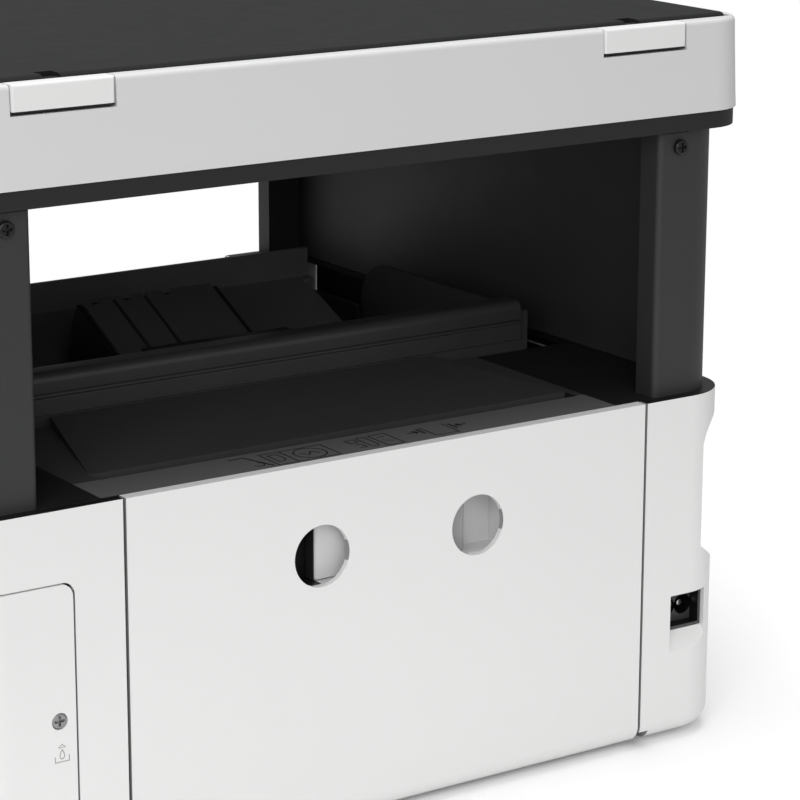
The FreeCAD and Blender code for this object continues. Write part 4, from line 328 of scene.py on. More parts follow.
@dataclass(frozen=True)
class CircuitBoard:
    """Solder mask with faint copper tracks under it."""

    name: str
    colour: Rgb
    track: Rgb
    roughness: float = 0.3
    gloss_swing: float = 0.1
    track_scale: float = 260.0
    track_width: float = 0.03
    track_depth: float = 0.00008
    track_strength: float = 0.3
    wander_scale: float = 70.0

    def build(self) -> bpy.types.Material:
        """Make the material."""
        graph = FinishGraph(self.name)
        layout = {"Vector": graph.place(), "Scale": self.track_scale, "Mortar Size": self.track_width}
        tracks = graph.add("ShaderNodeTexBrick", {"offset": 0.5}, layout, "Fac")
        wander = graph.noise(self.wander_scale, detail=3.0)
        colour = graph.mix(self.colour, self.track, tracks * wander)
        return graph.surface(Base_Color=colour, Roughness=self.roughness + self.gloss_swing * wander,
                             Normal=graph.bump(tracks, self.track_depth, self.track_strength))


class Palette:
    """Every finish of the printer, made once and handed out by name."""

    FINISHES = (
        MouldedPlastic("shell_white", (0.80, 0.80, 0.795), roughness=0.46, tone=0.012),
        MouldedPlastic("neck_dark", (0.028, 0.0285, 0.030), roughness=0.5, grain_strength=0.5, tone=0.08),
        MouldedPlastic("lid_dark", (0.017, 0.0174, 0.0182), roughness=0.55, grain_strength=0.5, tone=0.08,
                       specular=0.08),
        MouldedPlastic("base_dark", (0.018, 0.0183, 0.019), roughness=0.5, grain_strength=0.5, tone=0.08,
                       specular=0.3),
        # Painted shade: the scanner band is the shell's white plastic, painted darker than the shell.
        MouldedPlastic("band_painted_shade", (0.67, 0.67, 0.672), roughness=0.46, tone=0.012),
        MouldedPlastic("lip_grey", (0.115, 0.1155, 0.118), roughness=0.55, tone=0.05, specular=0.2),
        # The inner parts' own black plastic; it is also painted as shade on the inner faces of the white
        # shells, in a finger hole and under the hinge covers.
        MouldedPlastic("black_plastic_and_painted_shade", (0.008, 0.008, 0.0085), roughness=0.45, tone=0.12, specular=0.25),
        # The chute's black deck finish is also painted on the two ends of the grey lip as shade; the slope
        # finish below is a lighter copy of that black, painted on the slope as light.
        MouldedPlastic("black_deck_and_lip_shade", (0.015, 0.015, 0.0156), roughness=0.6, tone=0.1, specular=0.04),
        MouldedPlastic("slope_painted_light", (0.045, 0.045, 0.046), roughness=0.55, tone=0.08, specular=0.2),
        # Painted light: the face deep in the mains socket is its black plastic painted lighter.
        MouldedPlastic("socket_painted_light", (0.05, 0.05, 0.051), roughness=0.45, tone=0.06),
        MouldedPlastic("socket_black", (0.006, 0.006, 0.0065), roughness=0.35, tone=0.1),
        MouldedPlastic("latch_grey", (0.36, 0.36, 0.36), roughness=0.5, tone=0.04),
        # Painted light and shade in the finger holes: lighter than the latch on its lit face, darker than
        # the white in the box behind the holes.
        MouldedPlastic("finger_hole_painted_grey", (0.66, 0.66, 0.66), roughness=0.5, tone=0.03),
        MouldedPlastic("strap_dark", (0.060, 0.060, 0.062), roughness=0.34, tone=0.08),
        MouldedPlastic("gear_natural", (0.66, 0.64, 0.58), roughness=0.45, tone=0.05),
        MouldedPlastic("tank_milky", (0.55, 0.57, 0.58), roughness=0.3, tone=0.04, coat=0.3),
        MouldedPlastic("key_satin", (0.05, 0.05, 0.054), roughness=0.32, tone=0.06),
        MouldedPlastic("pad_white", (0.82, 0.82, 0.81), roughness=0.6, grain_scale=900.0, tone=0.02),
        MouldedPlastic("mark_dark", (0.012, 0.012, 0.013), roughness=0.55, tone=0.08),
        # This grey prints the drop mark, and is also painted on the walls of the cover's seams as shade.
        MouldedPlastic("print_and_seam_shade_grey", (0.30, 0.30, 0.30), roughness=0.55, tone=0.05),
        MouldedPlastic("mark_light", (0.62, 0.62, 0.62), roughness=0.5, tone=0.03),
        MouldedPlastic("display_dark", (0.012, 0.014, 0.018), roughness=0.1, grain_strength=0.02, coat=1.0),
        RolledSteel("zinc_sheet", (0.55, 0.56, 0.57), roughness=0.34),
        RolledSteel("rail_coated", (0.055, 0.055, 0.057), roughness=0.36, metallic=0.3),
        RolledSteel("beam_coated", (0.13, 0.13, 0.132), roughness=0.45, metallic=0.1),
        RolledSteel("screw_black", (0.03, 0.03, 0.03), roughness=0.3, metallic=0.7, along=Axis.Z),
        RolledSteel("screw_grey", (0.33, 0.33, 0.33), roughness=0.38, metallic=0.85, along=Axis.Z),
        RolledSteel("spring_steel", (0.62, 0.62, 0.61), roughness=0.25, along=Axis.Y),
        RolledSteel("pin_bright", (0.75, 0.74, 0.72), roughness=0.2, along=Axis.Y),
        GroundRubber("roller_rubber", (0.045, 0.045, 0.046)),
        GroundRubber("foot_rubber", (0.022, 0.022, 0.022)),
        ClearPane("flat_glass", (0.93, 0.97, 0.96)),
        ClearPane("clear_film", (0.85, 0.85, 0.85), roughness=0.1),
        CircuitBoard("board_green", (0.015, 0.10, 0.04), (0.05, 0.22, 0.08)),
    )

    SLOTS = {"shell_white": "white_shell", "band_painted_shade": "white_shell", "neck_dark": "dark_shell",
             "lid_dark": "dark_shell", "base_dark": "dark_shell", "lip_grey": "lip_grey",
             "black_plastic_and_painted_shade": "black_plastic", "socket_black": "black_plastic", "latch_grey": "grey_latch",
             "strap_dark": "strap_plastic", "rail_coated": "rail_steel", "beam_coated": "rail_steel",
             "screw_black": "black_screw", "roller_rubber": "roller_rubber", "tank_milky": "tank_plastic",
             "key_satin": "key_plastic"}

    def __init__(self) -> None:
        """Make every material."""
        self.materials = {finish.name: finish.build() for finish in self.FINISHES}

    def dress(self, piece: bpy.types.Object, finish: str) -> None:
        """Give a whole piece one finish."""
        piece.data.materials.clear()
        piece.data.materials.append(self.materials[finish])


def link(piece: bpy.types.Object) -> bpy.types.Object:
    """Put a new object into the scene."""
    bpy.context.scene.collection.objects.link(piece)
    return piece


def settle(piece: bpy.types.Object) -> None:
    """Replace a piece's mesh by its evaluated one, so that no modifier is left."""
    graph = bpy.context.evaluated_depsgraph_get()
    mesh = bpy.data.meshes.new_from_object(piece.evaluated_get(graph))
    mesh.name = piece.name
    piece.modifiers.clear()
    piece.data = mesh


def smooth_faces(mesh: bpy.types.Mesh, limit_deg: float = 32.0) -> None:
    """Shade a mesh smooth, with creases kept where faces meet at more than a limit."""
    mesh.shade_smooth()
    mesh.set_sharp_from_angle(angle=math.radians(limit_deg))


Tint = Callable[[Vector, Vector], "str | None"]


@dataclass(frozen=True)
class Zone:
    """A box of the shared frame in millimetres; a side that isn't given is open."""

    x: Pair = (-FAR, FAR)
    y: Pair = (-FAR, FAR)
    z: Pair = (-FAR, FAR)

    def holds(self, point: Vector) -> bool:
        """Whether a point in millimetres lies inside."""
        return all(low < value < high for value, (low, high) in zip(point, (self.x, self.y, self.z)))


# Places where a piece changes its finish, in millimetres
SHELL_INSIDE = Zone(x=(-182.4, 182.4))
INLET_CORNER = Zone(y=(150.0, FAR), z=(-FAR, 75.0))
NECK_RIM = Zone(x=(-174.7, 174.7), y=(-FAR, 158.0), z=(148.0, FAR))
# Painted shade: the side shells' seam walls inside this zone are painted grey.
COVER_SEAM = Zone(x=(-152.0, 152.0), y=(166.0, FAR))
# Painted shade: inside this box behind the finger holes the rear cover is painted black on one side and grey
# on the other.
LATCH_BOX = Zone(x=(-78.0, 54.0), y=(-FAR, 170.8), z=(94.0, 134.0))
LATCH_SIDE = 22.6
FASCIA_INSIDE = Zone(x=(-176.0, 176.0))
FASCIA_DEPTH = -165.0
# Past the lip's x limits its grey is painted black as shade; the slope zone is painted lighter as light.
FEED_LIP = Zone(x=(-122.0, 117.0), y=(146.6, FAR))
FEED_SLOPE = Zone(x=(-121.0, 107.0), y=(-FAR, 140.0))
# Below this height the hinge cover is painted black as shadow.
HINGE_GAP_TOP = 296.9
HINGE_ARM_END = 165.0
PINS_MIDDLE = (-159.55, 56.5)
PIN_OFFSET = 4.4
PIN_REACH = 1.45
SOCKET_FACE = 162.5
CASSETTE_INSIDE = Zone(y=(-160.5, FAR))
COVER_SCREW = Zone(z=(-FAR, 120.0))
TANK_CAPS = Zone(z=(139.2, FAR))

# Axes of the rollers as (y, z), and their shafts, in millimetres
FEED_AXIS = (53.0, 112.0)
EXIT_AXIS = (-40.0, 112.0)
PINCH_AXIS = (53.0, 123.9)
DUPLEX_AXIS = (151.0, 70.0)
SHAFT_RADIUS = 3.0
PINCH_SHAFT_RADIUS = 1.5
SHAFT_MARGIN = 0.2
GEAR_SIDE = -151.0

# How far a face's normal leans towards an axis
SIDEWAYS = 0.95
STRAIGHT = 0.9
MOSTLY = 0.5
UPWARD = 0.4
BACKWARD = 0.3
SLIGHTLY = 0.05


def inside(zone: Zone, finish: str) -> Tint:
    """Colours of a piece with one zone in another finish."""
    def pick(point: Vector, way: Vector) -> str | None:
        """The zone's finish, or none outside it."""
        return finish if zone.holds(point) else None
    return pick


def turned(axis: Pair, shaft_radius: float, gear_x: float = -FAR) -> Tint:
    """Colours of a roller along X: a steel shaft, and a natural gear left of a place."""
    def pick(point: Vector, way: Vector) -> str | None:
        """The finish at one point, or none for the roller's own."""
        if point.x < gear_x:
            return "gear_natural"
        near = math.hypot(point.y - axis[0], point.z - axis[1]) < shaft_radius + SHAFT_MARGIN
        return "spring_steel" if near else None
    return pick


def lined(side: int) -> Tint:
    """Colours of a side shell: inner faces painted black as shade inside the body, the rim in the neck
    black, and the seam walls at the cover painted grey as shade.
    """
    def pick(point: Vector, way: Vector) -> str | None:
        """The finish at one point, or none for the outer white."""
        inward = way.x * side < -SLIGHTLY and SHELL_INSIDE.holds(point)
        # Painted shade: the shell's inner faces are painted black.
        if (inward and not INLET_CORNER.holds(point)) or NECK_RIM.holds(point):
            return "black_plastic_and_painted_shade"
        # The walls of the seam at the rear cover are painted grey as shade.
        return "print_and_seam_shade_grey" if abs(way.x) > SIDEWAYS and COVER_SEAM.holds(point) else None
    return pick


def latch_box(point: Vector, way: Vector) -> str | None:
    """Colours of the rear cover: in the box behind the finger holes one side is painted black and the other
    grey as shade, and the seam walls are painted grey as shade.
    """
    if LATCH_BOX.holds(point):
        # Painted shade: black on one side of the box, grey on the other.
        return "black_plastic_and_painted_shade" if point.x > LATCH_SIDE else "finger_hole_painted_grey"
    # The rear cover's own seam walls are painted grey as shade.
    return "print_and_seam_shade_grey" if abs(way.x) > SIDEWAYS else None


def latch_front(point: Vector, way: Vector) -> str | None:
    """Colours of the right latch: its rear face is painted light grey as light, and its other faces are
    painted dark as shade.
    """
    # Painted light on the rear face, painted shade on the others.
    return "finger_hole_painted_grey" if way.y > MOSTLY else "neck_dark"


def fascia_back(point: Vector, way: Vector) -> str | None:
    """Colours of the fascia: what lies behind its front, inside the side shells, is painted black as shade.
    """
    behind = way.y > BACKWARD or point.y > FASCIA_DEPTH
    # Painted shade: the fascia's inner faces are painted black.
    return "black_plastic_and_painted_shade" if behind and FASCIA_INSIDE.holds(point) else None


def feed_deck(point: Vector, way: Vector) -> str | None:
    """Colours of the feed chute: a grey lip whose two ends are painted black as shade, a black deck, and a
    slope painted a lighter dark as painted light.
    """
    if way.z > UPWARD and FEED_LIP.holds(point):
        return None
    # Painted light on the slope; elsewhere black, which on the lip's ends is painted shade.
    return "slope_painted_light" if FEED_SLOPE.holds(point) else "black_deck_and_lip_shade"


def hinge_shadow_and_arm(point: Vector, way: Vector) -> str | None:
    """Colours of a hinge cover: its foot is painted black as the shadow in the gap beneath it, and its arm
    is dark like the lid.
    """
    if point.y < HINGE_ARM_END:
        return "lid_dark"
    # Painted shadow: the foot below this height is black.
    return "black_plastic_and_painted_shade" if point.z < HINGE_GAP_TOP else None


def socket_face(point: Vector, way: Vector) -> str | None:
    """Colours of the mains inlet: bright pins, and a face painted grey as painted light inside a black
    socket.
    """
    middle_x, middle_z = PINS_MIDDLE
    if math.hypot(abs(point.x - middle_x) - PIN_OFFSET, point.z - middle_z) < PIN_REACH:
        return "pin_bright"
    # The socket's face is painted grey as light on it.
    return "socket_painted_light" if way.y > STRAIGHT and point.y > SOCKET_FACE else None


@dataclass
class SoftShell:
    """A moulded or pressed piece whose edges are broken by a small round; it stands for its CAD node."""

    node: str
    finish: str
    edge: float = 0.5 * MM
    segments: int = 3
    crease_deg: float = 28.0
    tint: Tint | None = None
    cuts: Sequence[tuple[Axis, float]] = ()
    flatten: bool = True
    flat_deg: float = 0.4
    weld: float = 0.002 * MM

    def build(self, frame: dict, palette: Palette) -> bpy.types.Object:
        """Copy the node's mesh, clean it, round its edges and dress it.

        Args:
            palette: The printer's finishes.

        Returns:
            The new piece, riding on the node's body.
        """
        source = frame["nodes"][self.node]
        mesh = source.data.copy()
        self.clean(mesh)
        piece = link(bpy.data.objects.new(self.node + "_shell", mesh))
        mesh.name = piece.name
        self.soften(piece)
        palette.dress(piece, self.finish)
        if self.tint is not None:
            self.paint(piece.data, palette)
        body = source["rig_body"]
        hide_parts(self.node)
        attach(piece, body)
        return piece

    def clean(self, mesh: bpy.types.Mesh) -> None:
        """Weld the mesh, join its flat faces and cut it where its finish changes."""
        rough = bmesh.new()
        rough.from_mesh(mesh)
        bmesh.ops.remove_doubles(rough, verts=rough.verts, dist=self.weld)
        if self.flatten:
            bmesh.ops.dissolve_limit(rough, angle_limit=math.radians(self.flat_deg), verts=rough.verts,
                                     edges=rough.edges)
        for axis, level in self.cuts:
            across = Vector((0.0, 0.0, 0.0))
            across[axis.value] = 1.0
            bmesh.ops.bisect_plane(rough, geom=[*rough.verts, *rough.edges, *rough.faces],
                                   plane_co=across * level * MM, plane_no=across)
        rough.to_mesh(mesh)
        rough.free()

    def soften(self, piece: bpy.types.Object) -> None:
        """Round the sharp edges, and shade the flats flat."""
        rounding = piece.modifiers.new("edges", "BEVEL")
        rounding.width = self.edge
        rounding.segments = self.segments
        rounding.limit_method = "ANGLE"
        rounding.angle_limit = math.radians(self.crease_deg)
        rounding.use_clamp_overlap = True
        rounding.miter_outer = "MITER_ARC"
        settle(piece)
        smooth_faces(piece.data)
        weigh = piece.modifiers.new("flats", "WEIGHTED_NORMAL")
        weigh.keep_sharp = True
        settle(piece)

    def paint(self, mesh: bpy.types.Mesh, palette: Palette) -> None:
        """Give single faces another finish where the tint asks for one."""
        slots = {self.finish: 0}
        for face in mesh.polygons:
            finish = self.tint(face.center / MM, face.normal) or self.finish
            if finish not in slots:
                slots[finish] = len(slots)
                mesh.materials.append(palette.materials[finish])
            face.material_index = slots[finish]


@dataclass
class Housing:
    """All the pieces that keep their CAD form: shells with softened edges, and plain inner nodes."""

    frame: dict
    palette: Palette
    shells: Sequence[SoftShell] = (
        SoftShell("left_side_shell", "shell_white", 0.6 * MM, tint=lined(-1)),
        SoftShell("right_side_shell", "shell_white", 0.6 * MM, tint=lined(1)),
        SoftShell("front_fascia", "shell_white", 0.6 * MM, tint=fascia_back),
        SoftShell("rear_cover", "shell_white", 0.6 * MM, tint=latch_box, cuts=((Axis.X, LATCH_SIDE),)),
        SoftShell("maintenance_cover", "shell_white", 0.4 * MM),
        # The scanner frame wears the darker copy of the white, as painted shade.
        SoftShell("scanner_frame", "band_painted_shade", 0.5 * MM),
        SoftShell("lid_hinge_covers", "shell_white", 0.3 * MM, tint=hinge_shadow_and_arm,
                  cuts=((Axis.Z, HINGE_GAP_TOP),)),
        SoftShell("cassette_tray", "shell_white", 0.6 * MM,
                  tint=inside(CASSETTE_INSIDE, "neck_dark")),
        SoftShell("left_neck_pillar", "neck_dark", 0.5 * MM),
        SoftShell("right_neck_pillar", "neck_dark", 0.5 * MM),
        SoftShell("scanner_base", "base_dark", 0.5 * MM, flatten=False),
        SoftShell("document_lid", "lid_dark", 0.4 * MM),
        SoftShell("rear_feed_chute", "lip_grey", 0.4 * MM, tint=feed_deck,
                  cuts=((Axis.Y, FEED_LIP.y[0]), (Axis.X, FEED_LIP.x[0]), (Axis.X, FEED_LIP.x[1]))),
        SoftShell("control_panel", "neck_dark", 0.5 * MM),
        SoftShell("output_tray", "neck_dark", 0.6 * MM),
        SoftShell("output_extension", "neck_dark", 0.4 * MM),
        SoftShell("print_carriage", "black_plastic_and_painted_shade", 0.5 * MM),
        SoftShell("carriage_straps", "strap_dark", 0.3 * MM),
        SoftShell("carriage_rail", "rail_coated", 0.4 * MM),
        SoftShell("left_latch", "latch_grey", 0.4 * MM),
        SoftShell("right_latch", "latch_grey", 0.4 * MM, tint=latch_front),
        SoftShell("power_inlet", "socket_black", 0.25 * MM, tint=socket_face, flatten=False),
        SoftShell("phillips_screws", "screw_black", 0.12 * MM, tint=inside(COVER_SCREW, "screw_grey")),
        SoftShell("feed_roller", "roller_rubber", 0.2 * MM, 1,
                  tint=turned(FEED_AXIS, SHAFT_RADIUS, GEAR_SIDE)),
        SoftShell("exit_roller", "roller_rubber", 0.2 * MM, 1,
                  tint=turned(EXIT_AXIS, SHAFT_RADIUS, GEAR_SIDE)),
        SoftShell("pinch_rollers", "roller_rubber", 0.2 * MM, 1,
                  tint=turned(PINCH_AXIS, PINCH_SHAFT_RADIUS)),
        SoftShell("duplex_roller", "roller_rubber", 0.2 * MM, 1,
                  tint=turned(DUPLEX_AXIS, SHAFT_RADIUS)),
        SoftShell("ink_tanks", "tank_milky", 0.4 * MM, tint=inside(TANK_CAPS, "black_plastic_and_painted_shade")),
        SoftShell("front_beam", "beam_coated", 0.3 * MM),
        SoftShell("tank_cover", "neck_dark", 0.4 * MM),
        SoftShell("power_button", "key_satin", 0.3 * MM),
        SoftShell("start_button", "key_satin", 0.3 * MM),
    )
    plain: dict[str, tuple[str, ...]] = field(default_factory=lambda: {
        "black_plastic_and_painted_shade": ("base_tray", "platen", "cap_station", "exit_frame", "power_supply",
                        "maintenance_box", "scan_bar"),
        "rail_coated": ("main_frame",),
        "foot_rubber": ("rubber_feet", "timing_belt"),
        "board_green": ("main_board",),
        "zinc_sheet": ("carriage_motor", "feed_motor", "scan_rail"),
        "clear_film": ("encoder_strip",),
        "flat_glass": ("scanner_glass",),
        "pad_white": ("lid_pad",),
        "spring_steel": ("print_head", "star_wheels"),
        "gear_natural": ("drive_pulley", "idler_pulley", "motor_pinion", "idler_gear", "guide_pinion"),
        "latch_grey": ("left_edge_guide", "right_edge_guide", "end_guide"),
        "display_dark": ("panel_display",),
    })

    def build(self) -> None:
        """Round the shells and dress every node."""
        for shell in self.shells:
            piece = shell.build(self.frame, self.palette)
            LOG.info("shell %s: %d faces", piece.name, len(piece.data.polygons))
        for finish, nodes in self.plain.items():
            for node in nodes:
                self.palette.dress(self.frame["nodes"][node], finish)
                LOG.info("node %s in %s", node, finish)


# Stroke widths of the marks in millimetres, and how sharp a bend keeps its full mitre
LEAST_MITRE = 0.5
BAR = 1.1
BOLD = 0.9
FINE = 0.6
KEY_SIGN = 0.5
PRINTED = 0.36
PRINTED_FINE = 0.32


@dataclass(frozen=True)
class Stroke:
    """One line of a mark: points in the mark's plane in millimetres, open or closed."""

    points: tuple[Pair, ...]
    closed: bool = False
    width: float = FINE

    def sides(self) -> list[tuple[Vector, Vector]]:
        """The line's two edges, mitred at its bends."""
        spine = [Vector(point) for point in self.points]
        pairs = []
        for index, here in enumerate(spine):
            before = spine[index - 1] if index or self.closed else None
            after = spine[(index + 1) % len(spine)] if index + 1 < len(spine) or self.closed else None
            ways = [(here - before).normalized()] if before is not None else []
            ways += [(after - here).normalized()] if after is not None else []
            mean = sum(ways, Vector((0.0, 0.0))).normalized()
            across = Vector((-mean.y, mean.x))
            reach = self.width / 2 / max(mean.dot(ways[0]), LEAST_MITRE)
            pairs.append((here + across * reach, here - across * reach))
        return pairs


def ring(centre: Pair, radius: float, start: float = 0.0, sweep: float = FULL_TURN,
         width: float = FINE, steps: int = 28) -> Stroke:
    """A circle or an arc as a stroke; angles are in degrees."""
    whole = sweep >= FULL_TURN
    count = steps if whole else steps + 1
    angles = [math.radians(start + sweep * index / steps) for index in range(count)]
    points = tuple((centre[0] + radius * math.cos(a), centre[1] + radius * math.sin(a)) for a in angles)
    return Stroke(points, whole, width)


def rectangle(x0: float, y0: float, x1: float, y1: float) -> Stroke:
    """A rectangle as a stroke."""
    return Stroke(((x0, y0), (x1, y0), (x1, y1), (x0, y1)), True)


class Face(Enum):
    """The faces that carry marks: the two directions in the face, and the one out of it."""

    DECK = ((1, 0, 0), (0, 1, 0), (0, 0, 1))
    REAR = ((-1, 0, 0), (0, 0, 1), (0, 1, 0))
    FRONT = ((1, 0, 0), (0, 0, 1), (0, -1, 0))


@dataclass
class Mark:
    """A printed or moulded mark made of thin strokes on a flat face."""

    name: str
    face: Face
    level: float
    strokes: Sequence[Stroke]
    body: str
    finish: str
    thickness: float = 0.06

    def build(self, palette: Palette) -> bpy.types.Object:
        """Lay the strokes on the face and dress them."""
        net = bmesh.new()
        for stroke in self.strokes:
            self.lay(net, stroke)
        bmesh.ops.recalc_face_normals(net, faces=net.faces)
        mesh = bpy.data.meshes.new(self.name)
        net.to_mesh(mesh)
        net.free()
        piece = link(bpy.data.objects.new(self.name, mesh))
        palette.dress(piece, self.finish)
        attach(piece, self.body)
        return piece

    def lay(self, net: bmesh.types.BMesh, stroke: Stroke) -> None:
        """Add one stroke as a bar of square section, closed or with two ends."""
        along, up, out = (Vector(axis) for axis in self.face.value)
        base = out * self.level
        rows = []
        for left, right in stroke.sides():
            corners = ((left, 0.0), (right, 0.0), (right, self.thickness), (left, self.thickness))
            rows.append([net.verts.new((along * point.x + up * point.y + base + out * lift) * MM)
                         for point, lift in corners])
        spans = list(zip(rows, rows[1:])) + ([(rows[-1], rows[0])] if stroke.closed else [])
        for first, second in spans:
            for corner, here in enumerate(first):
                after = (corner + 1) % len(first)
                net.faces.new((here, first[after], second[after], second[corner]))
        if not stroke.closed:
            net.faces.new(rows[0])
            net.faces.new(list(reversed(rows[-1])))


@dataclass
class GenericMarks:
    """The plain symbols on the lip, the maintenance cover and the control panel."""

    palette: Palette
    deck_level: float
    rear_level: float
    key_level: float

    def lip(self) -> Iterable[Mark]:
        """Three groups on the lip: a stack with its stop, two loading sketches and a width arrow pair."""
        stack = [Stroke(((52.5, 151.2), (46.0, 151.2), (41.0, 166.8)), width=BOLD),
                 ring((45.6, 162.0), 2.4, 20, 230),
                 rectangle(39.0, 151.2, 11.0, 166.8),
                 Stroke(((30.0, 151.2), (30.0, 166.8))),
                 Stroke(((36.6, 154.0), (32.6, 154.0), (32.6, 161.0), (34.6, 163.0), (36.6, 163.0)), True),
                 ring((20.4, 159.0), 6.6),
                 Stroke(((24.4, 157.6), (21.6, 161.0), (19.4, 157.2), (16.8, 160.6)))]
        loading = [rectangle(0.5, 152.6, -3.4, 156.8),
                   Stroke(((0.0, 159.6), (-3.0, 159.6), (-3.0, 163.8), (0.0, 163.8))),
                   Stroke(((-5.2, 151.8), (-8.8, 151.8), (-8.8, 163.0), (-7.0, 165.0), (-5.2, 163.0)), True),
                   rectangle(-11.2, 151.2, -18.8, 166.6),
                   Stroke(((-13.2, 155.0), (-16.8, 155.0))),
                   Stroke(((-13.2, 159.0), (-16.8, 162.2)))]
        middle = -40.5
        near, far = middle + 5.5, middle - 5.5
        width = [Stroke(((near, 152.2), (near, 165.0), (far, 165.0), (far, 152.2)))]
        for side in (1, -1):
            tail, tip, barb, stop = (middle + side * reach for reach in (14.0, 9.5, 11.1, 7.7))
            point = middle + side * 9.3
            width += [Stroke(((tail, 157.0), (tip, 157.0)), width=BOLD),
                      Stroke(((barb, 155.2), (point, 157.0), (barb, 158.8)), width=BOLD),
                      Stroke(((stop, 153.4), (stop, 160.6)), width=BAR)]
        for name, strokes in (("stack", stack), ("loading", loading), ("width", width)):
            yield Mark("lip_" + name + "_mark", Face.DECK, self.deck_level, strokes, "casing", "mark_dark")

    def cover(self) -> Iterable[Mark]:
        """A drop over a tray with a small arrow head, printed below the cover's screw."""
        middle = -138.4
        steps = 24
        turns = (2 * math.pi * index / steps for index in range(steps))
        drop = tuple((middle + 1.2 * math.sin(turn) * math.sin(turn / 2), 57.4 + 1.8 * math.cos(turn))
                     for turn in turns)
        left, right = middle - 2.9, middle + 2.9
        strokes = [Stroke(((middle - 1.4, 60.1), (middle, 61.3), (middle + 1.4, 60.1)), True, PRINTED_FINE),
                   Stroke(drop, True, PRINTED),
                   Stroke(((left, 56.8), (left, 54.5), (right, 54.5), (right, 56.8)), width=PRINTED)]
        yield Mark("cover_drop_mark", Face.REAR, self.rear_level, strokes, "casing", "print_and_seam_shade_grey", 0.03)

    def panel(self, power: Pair, start: Pair) -> Iterable[Mark]:
        """A power sign and a start sign on the two keys."""
        x, z = power
        sign = [ring((x, z), 3.0, 120, 300, KEY_SIGN), Stroke(((x, z + 0.8), (x, z + 4.0)), width=KEY_SIGN)]
        yield Mark("power_mark", Face.FRONT, self.key_level, sign, "power_button", "mark_light", 0.04)
        x, z = start
        sign = [Stroke(((x - 1.2, z - 3.4), (x + 2.6, z), (x - 1.2, z + 3.4)), True, KEY_SIGN)]
        yield Mark("start_mark", Face.FRONT, self.key_level, sign, "start_button", "mark_light", 0.04)

    def build(self, power: Pair, start: Pair) -> None:
        """Lay every mark."""
        for mark in (*self.lip(), *self.cover(), *self.panel(power, start)):
            piece = mark.build(self.palette)
            LOG.info("mark %s: %d strokes", piece.name, len(mark.strokes))


def aimed(place: Point, way: Vector) -> Matrix:
    """The pose of a camera or lamp at a place, looking along a way."""
    return Matrix.Translation(place) @ way.to_track_quat("-Z", "Y").to_matrix().to_4x4()


@dataclass(frozen=True)
class RearView:
    """The camera at the photographed angle, behind and above the printer."""

    place: Point = (0.6155, 1.0975, 0.46535)
    forward: Point = (-0.5430, -0.8000, -0.2552)
    roll: float = 0.0027
    focal_px: float = 2990.0
    image_px: float = 800.0
    sensor_mm: float = 36.0

    def build(self) -> bpy.types.Object:
        """Make the camera and use it."""
        data = bpy.data.cameras.new("rear_view")
        data.sensor_fit = "HORIZONTAL"
        data.sensor_width = self.sensor_mm
        data.lens = self.sensor_mm * self.focal_px / self.image_px
        camera = link(bpy.data.objects.new("rear_view", data))
        camera.matrix_world = aimed(self.place, Vector(self.forward)) @ Matrix.Rotation(self.roll, 4, "Z")
        bpy.context.scene.camera = camera
        return camera


@dataclass(frozen=True)
class SoftBox:
    """A square studio lamp aimed at the printer."""

    name: str
    place: Point
    aim: Point
    size: float
    power: float

    def build(self) -> None:
        """Make the lamp."""
        data = bpy.data.lights.new(self.name, "AREA")
        data.size = self.size
        data.energy = self.power
        lamp = link(bpy.data.objects.new(self.name, data))
        lamp.matrix_world = aimed(self.place, Vector(self.aim) - Vector(self.place))


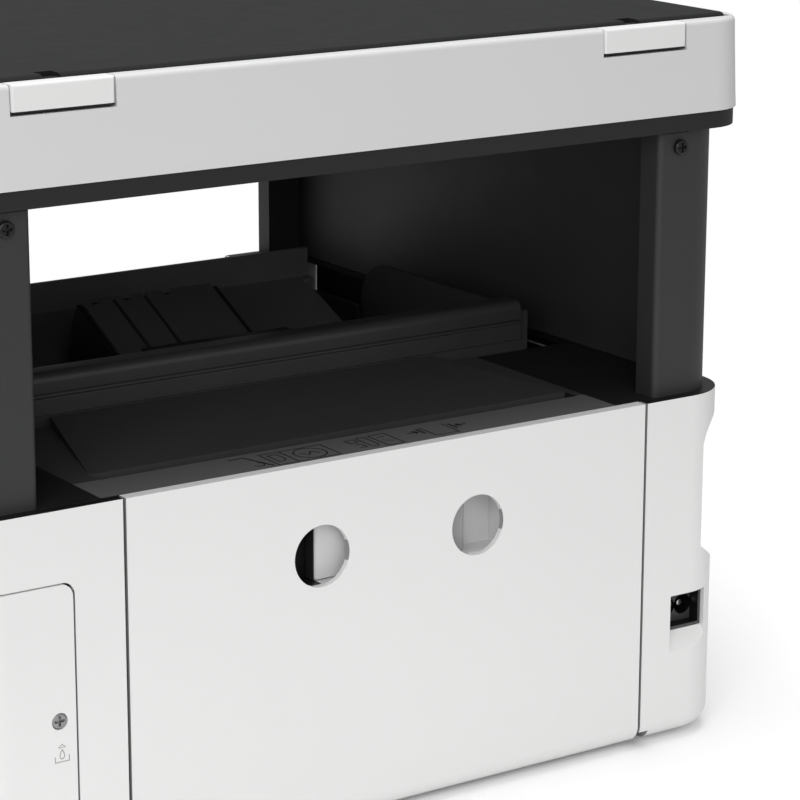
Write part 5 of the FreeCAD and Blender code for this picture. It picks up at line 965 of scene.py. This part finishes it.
@dataclass
class Studio:
    """A pale floor that fades into a white surround, an even sky and soft boxes."""

    floor_radius: float = 0.85
    floor_sides: int = 96
    floor_fade: float = 0.5
    floor_clear: float = 0.05
    floor_drop: float = 0.2 * MM
    floor_colour: Rgb = (0.96, 0.96, 0.96)
    floor_shade: float = 0.99
    floor_lift: Rgb = (0.10, 0.10, 0.10)
    sky: float = 0.42
    boxes: Sequence[SoftBox] = (
        SoftBox("key_box", (1.15, 1.45, 1.1), (0.0, 0.1, 0.15), 1.2, 16.0),
        SoftBox("fill_box", (0.5, 2.6, 0.9), (-0.1, 0.1, 0.15), 1.6, 5.0),
        SoftBox("top_box", (0.2, -0.2, 2.6), (0.0, 0.0, 0.3), 2.0, 46.0),
    )

    def build(self) -> None:
        """Make the floor, the sky and the lamps."""
        self.build_floor()
        self.build_sky()
        for box in self.boxes:
            box.build()
        LOG.info("studio with %d soft boxes", len(self.boxes))

    def build_floor(self) -> None:
        """A disc just under the feet that takes the shadow and is clear at its rim."""
        disc = bmesh.new()
        bmesh.ops.create_circle(disc, cap_ends=True, segments=self.floor_sides, radius=self.floor_radius)
        mesh = bpy.data.meshes.new("studio_floor")
        disc.to_mesh(mesh)
        disc.free()
        floor = link(bpy.data.objects.new("studio_floor", mesh))
        floor.location.z = -self.floor_drop
        graph = FinishGraph("studio_floor")
        speck = graph.noise(3.0, detail=2.0)
        colour = graph.mix(shade(self.floor_colour, self.floor_shade), self.floor_colour, speck)
        away = graph.add("ShaderNodeVectorMath", {"operation": "LENGTH"}, {0: graph.place()}, "Value")
        solid = 1.0 - away.ramp(self.floor_radius - self.floor_fade, self.floor_radius - self.floor_clear)
        lift = graph.mix((0.0, 0.0, 0.0), self.floor_lift, graph.ray("Is Camera Ray"))
        mesh.materials.append(graph.surface(Base_Color=colour, Roughness=0.9, Specular_IOR_Level=0.1,
                                            Alpha=solid, Emission_Color=lift, Emission_Strength=1.0))

    def build_sky(self) -> None:
        """White to the camera and through glass, softer as a light."""
        world = bpy.data.worlds.new("studio_sky")
        bpy.context.scene.world = world
        world.use_nodes = True
        graph = Graph(world.node_tree)
        seen = graph.ray("Is Camera Ray") | graph.ray("Is Transmission Ray")
        background = graph.tree.nodes["Background"]
        graph.connect(background.inputs["Color"], (1.0, 1.0, 1.0, 1.0))
        graph.connect(background.inputs["Strength"], self.sky + (1.0 - self.sky) * seen)


def main() -> None:
    """Build every part of the scene in order and note its size."""
    logging.basicConfig(level=logging.INFO)
    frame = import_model()
    palette = Palette()
    RearView().build()
    Studio().build()
    Housing(frame, palette).build()
    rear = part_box("rear_cover")[1] / MM
    keys = {node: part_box(node) for node in ("power_button", "start_button")}
    places = {node: (low + high) / 2 / MM for node, (low, high) in keys.items()}
    marks = GenericMarks(palette, rear.z, rear.y, -keys["power_button"][0].y / MM)
    marks.build(*((place.x, place.z) for place in places.values()))
    bpy.context.scene.view_settings.view_transform = "Standard"
    bpy.context.view_layer.update()


if __name__ == "__main__":
    main()
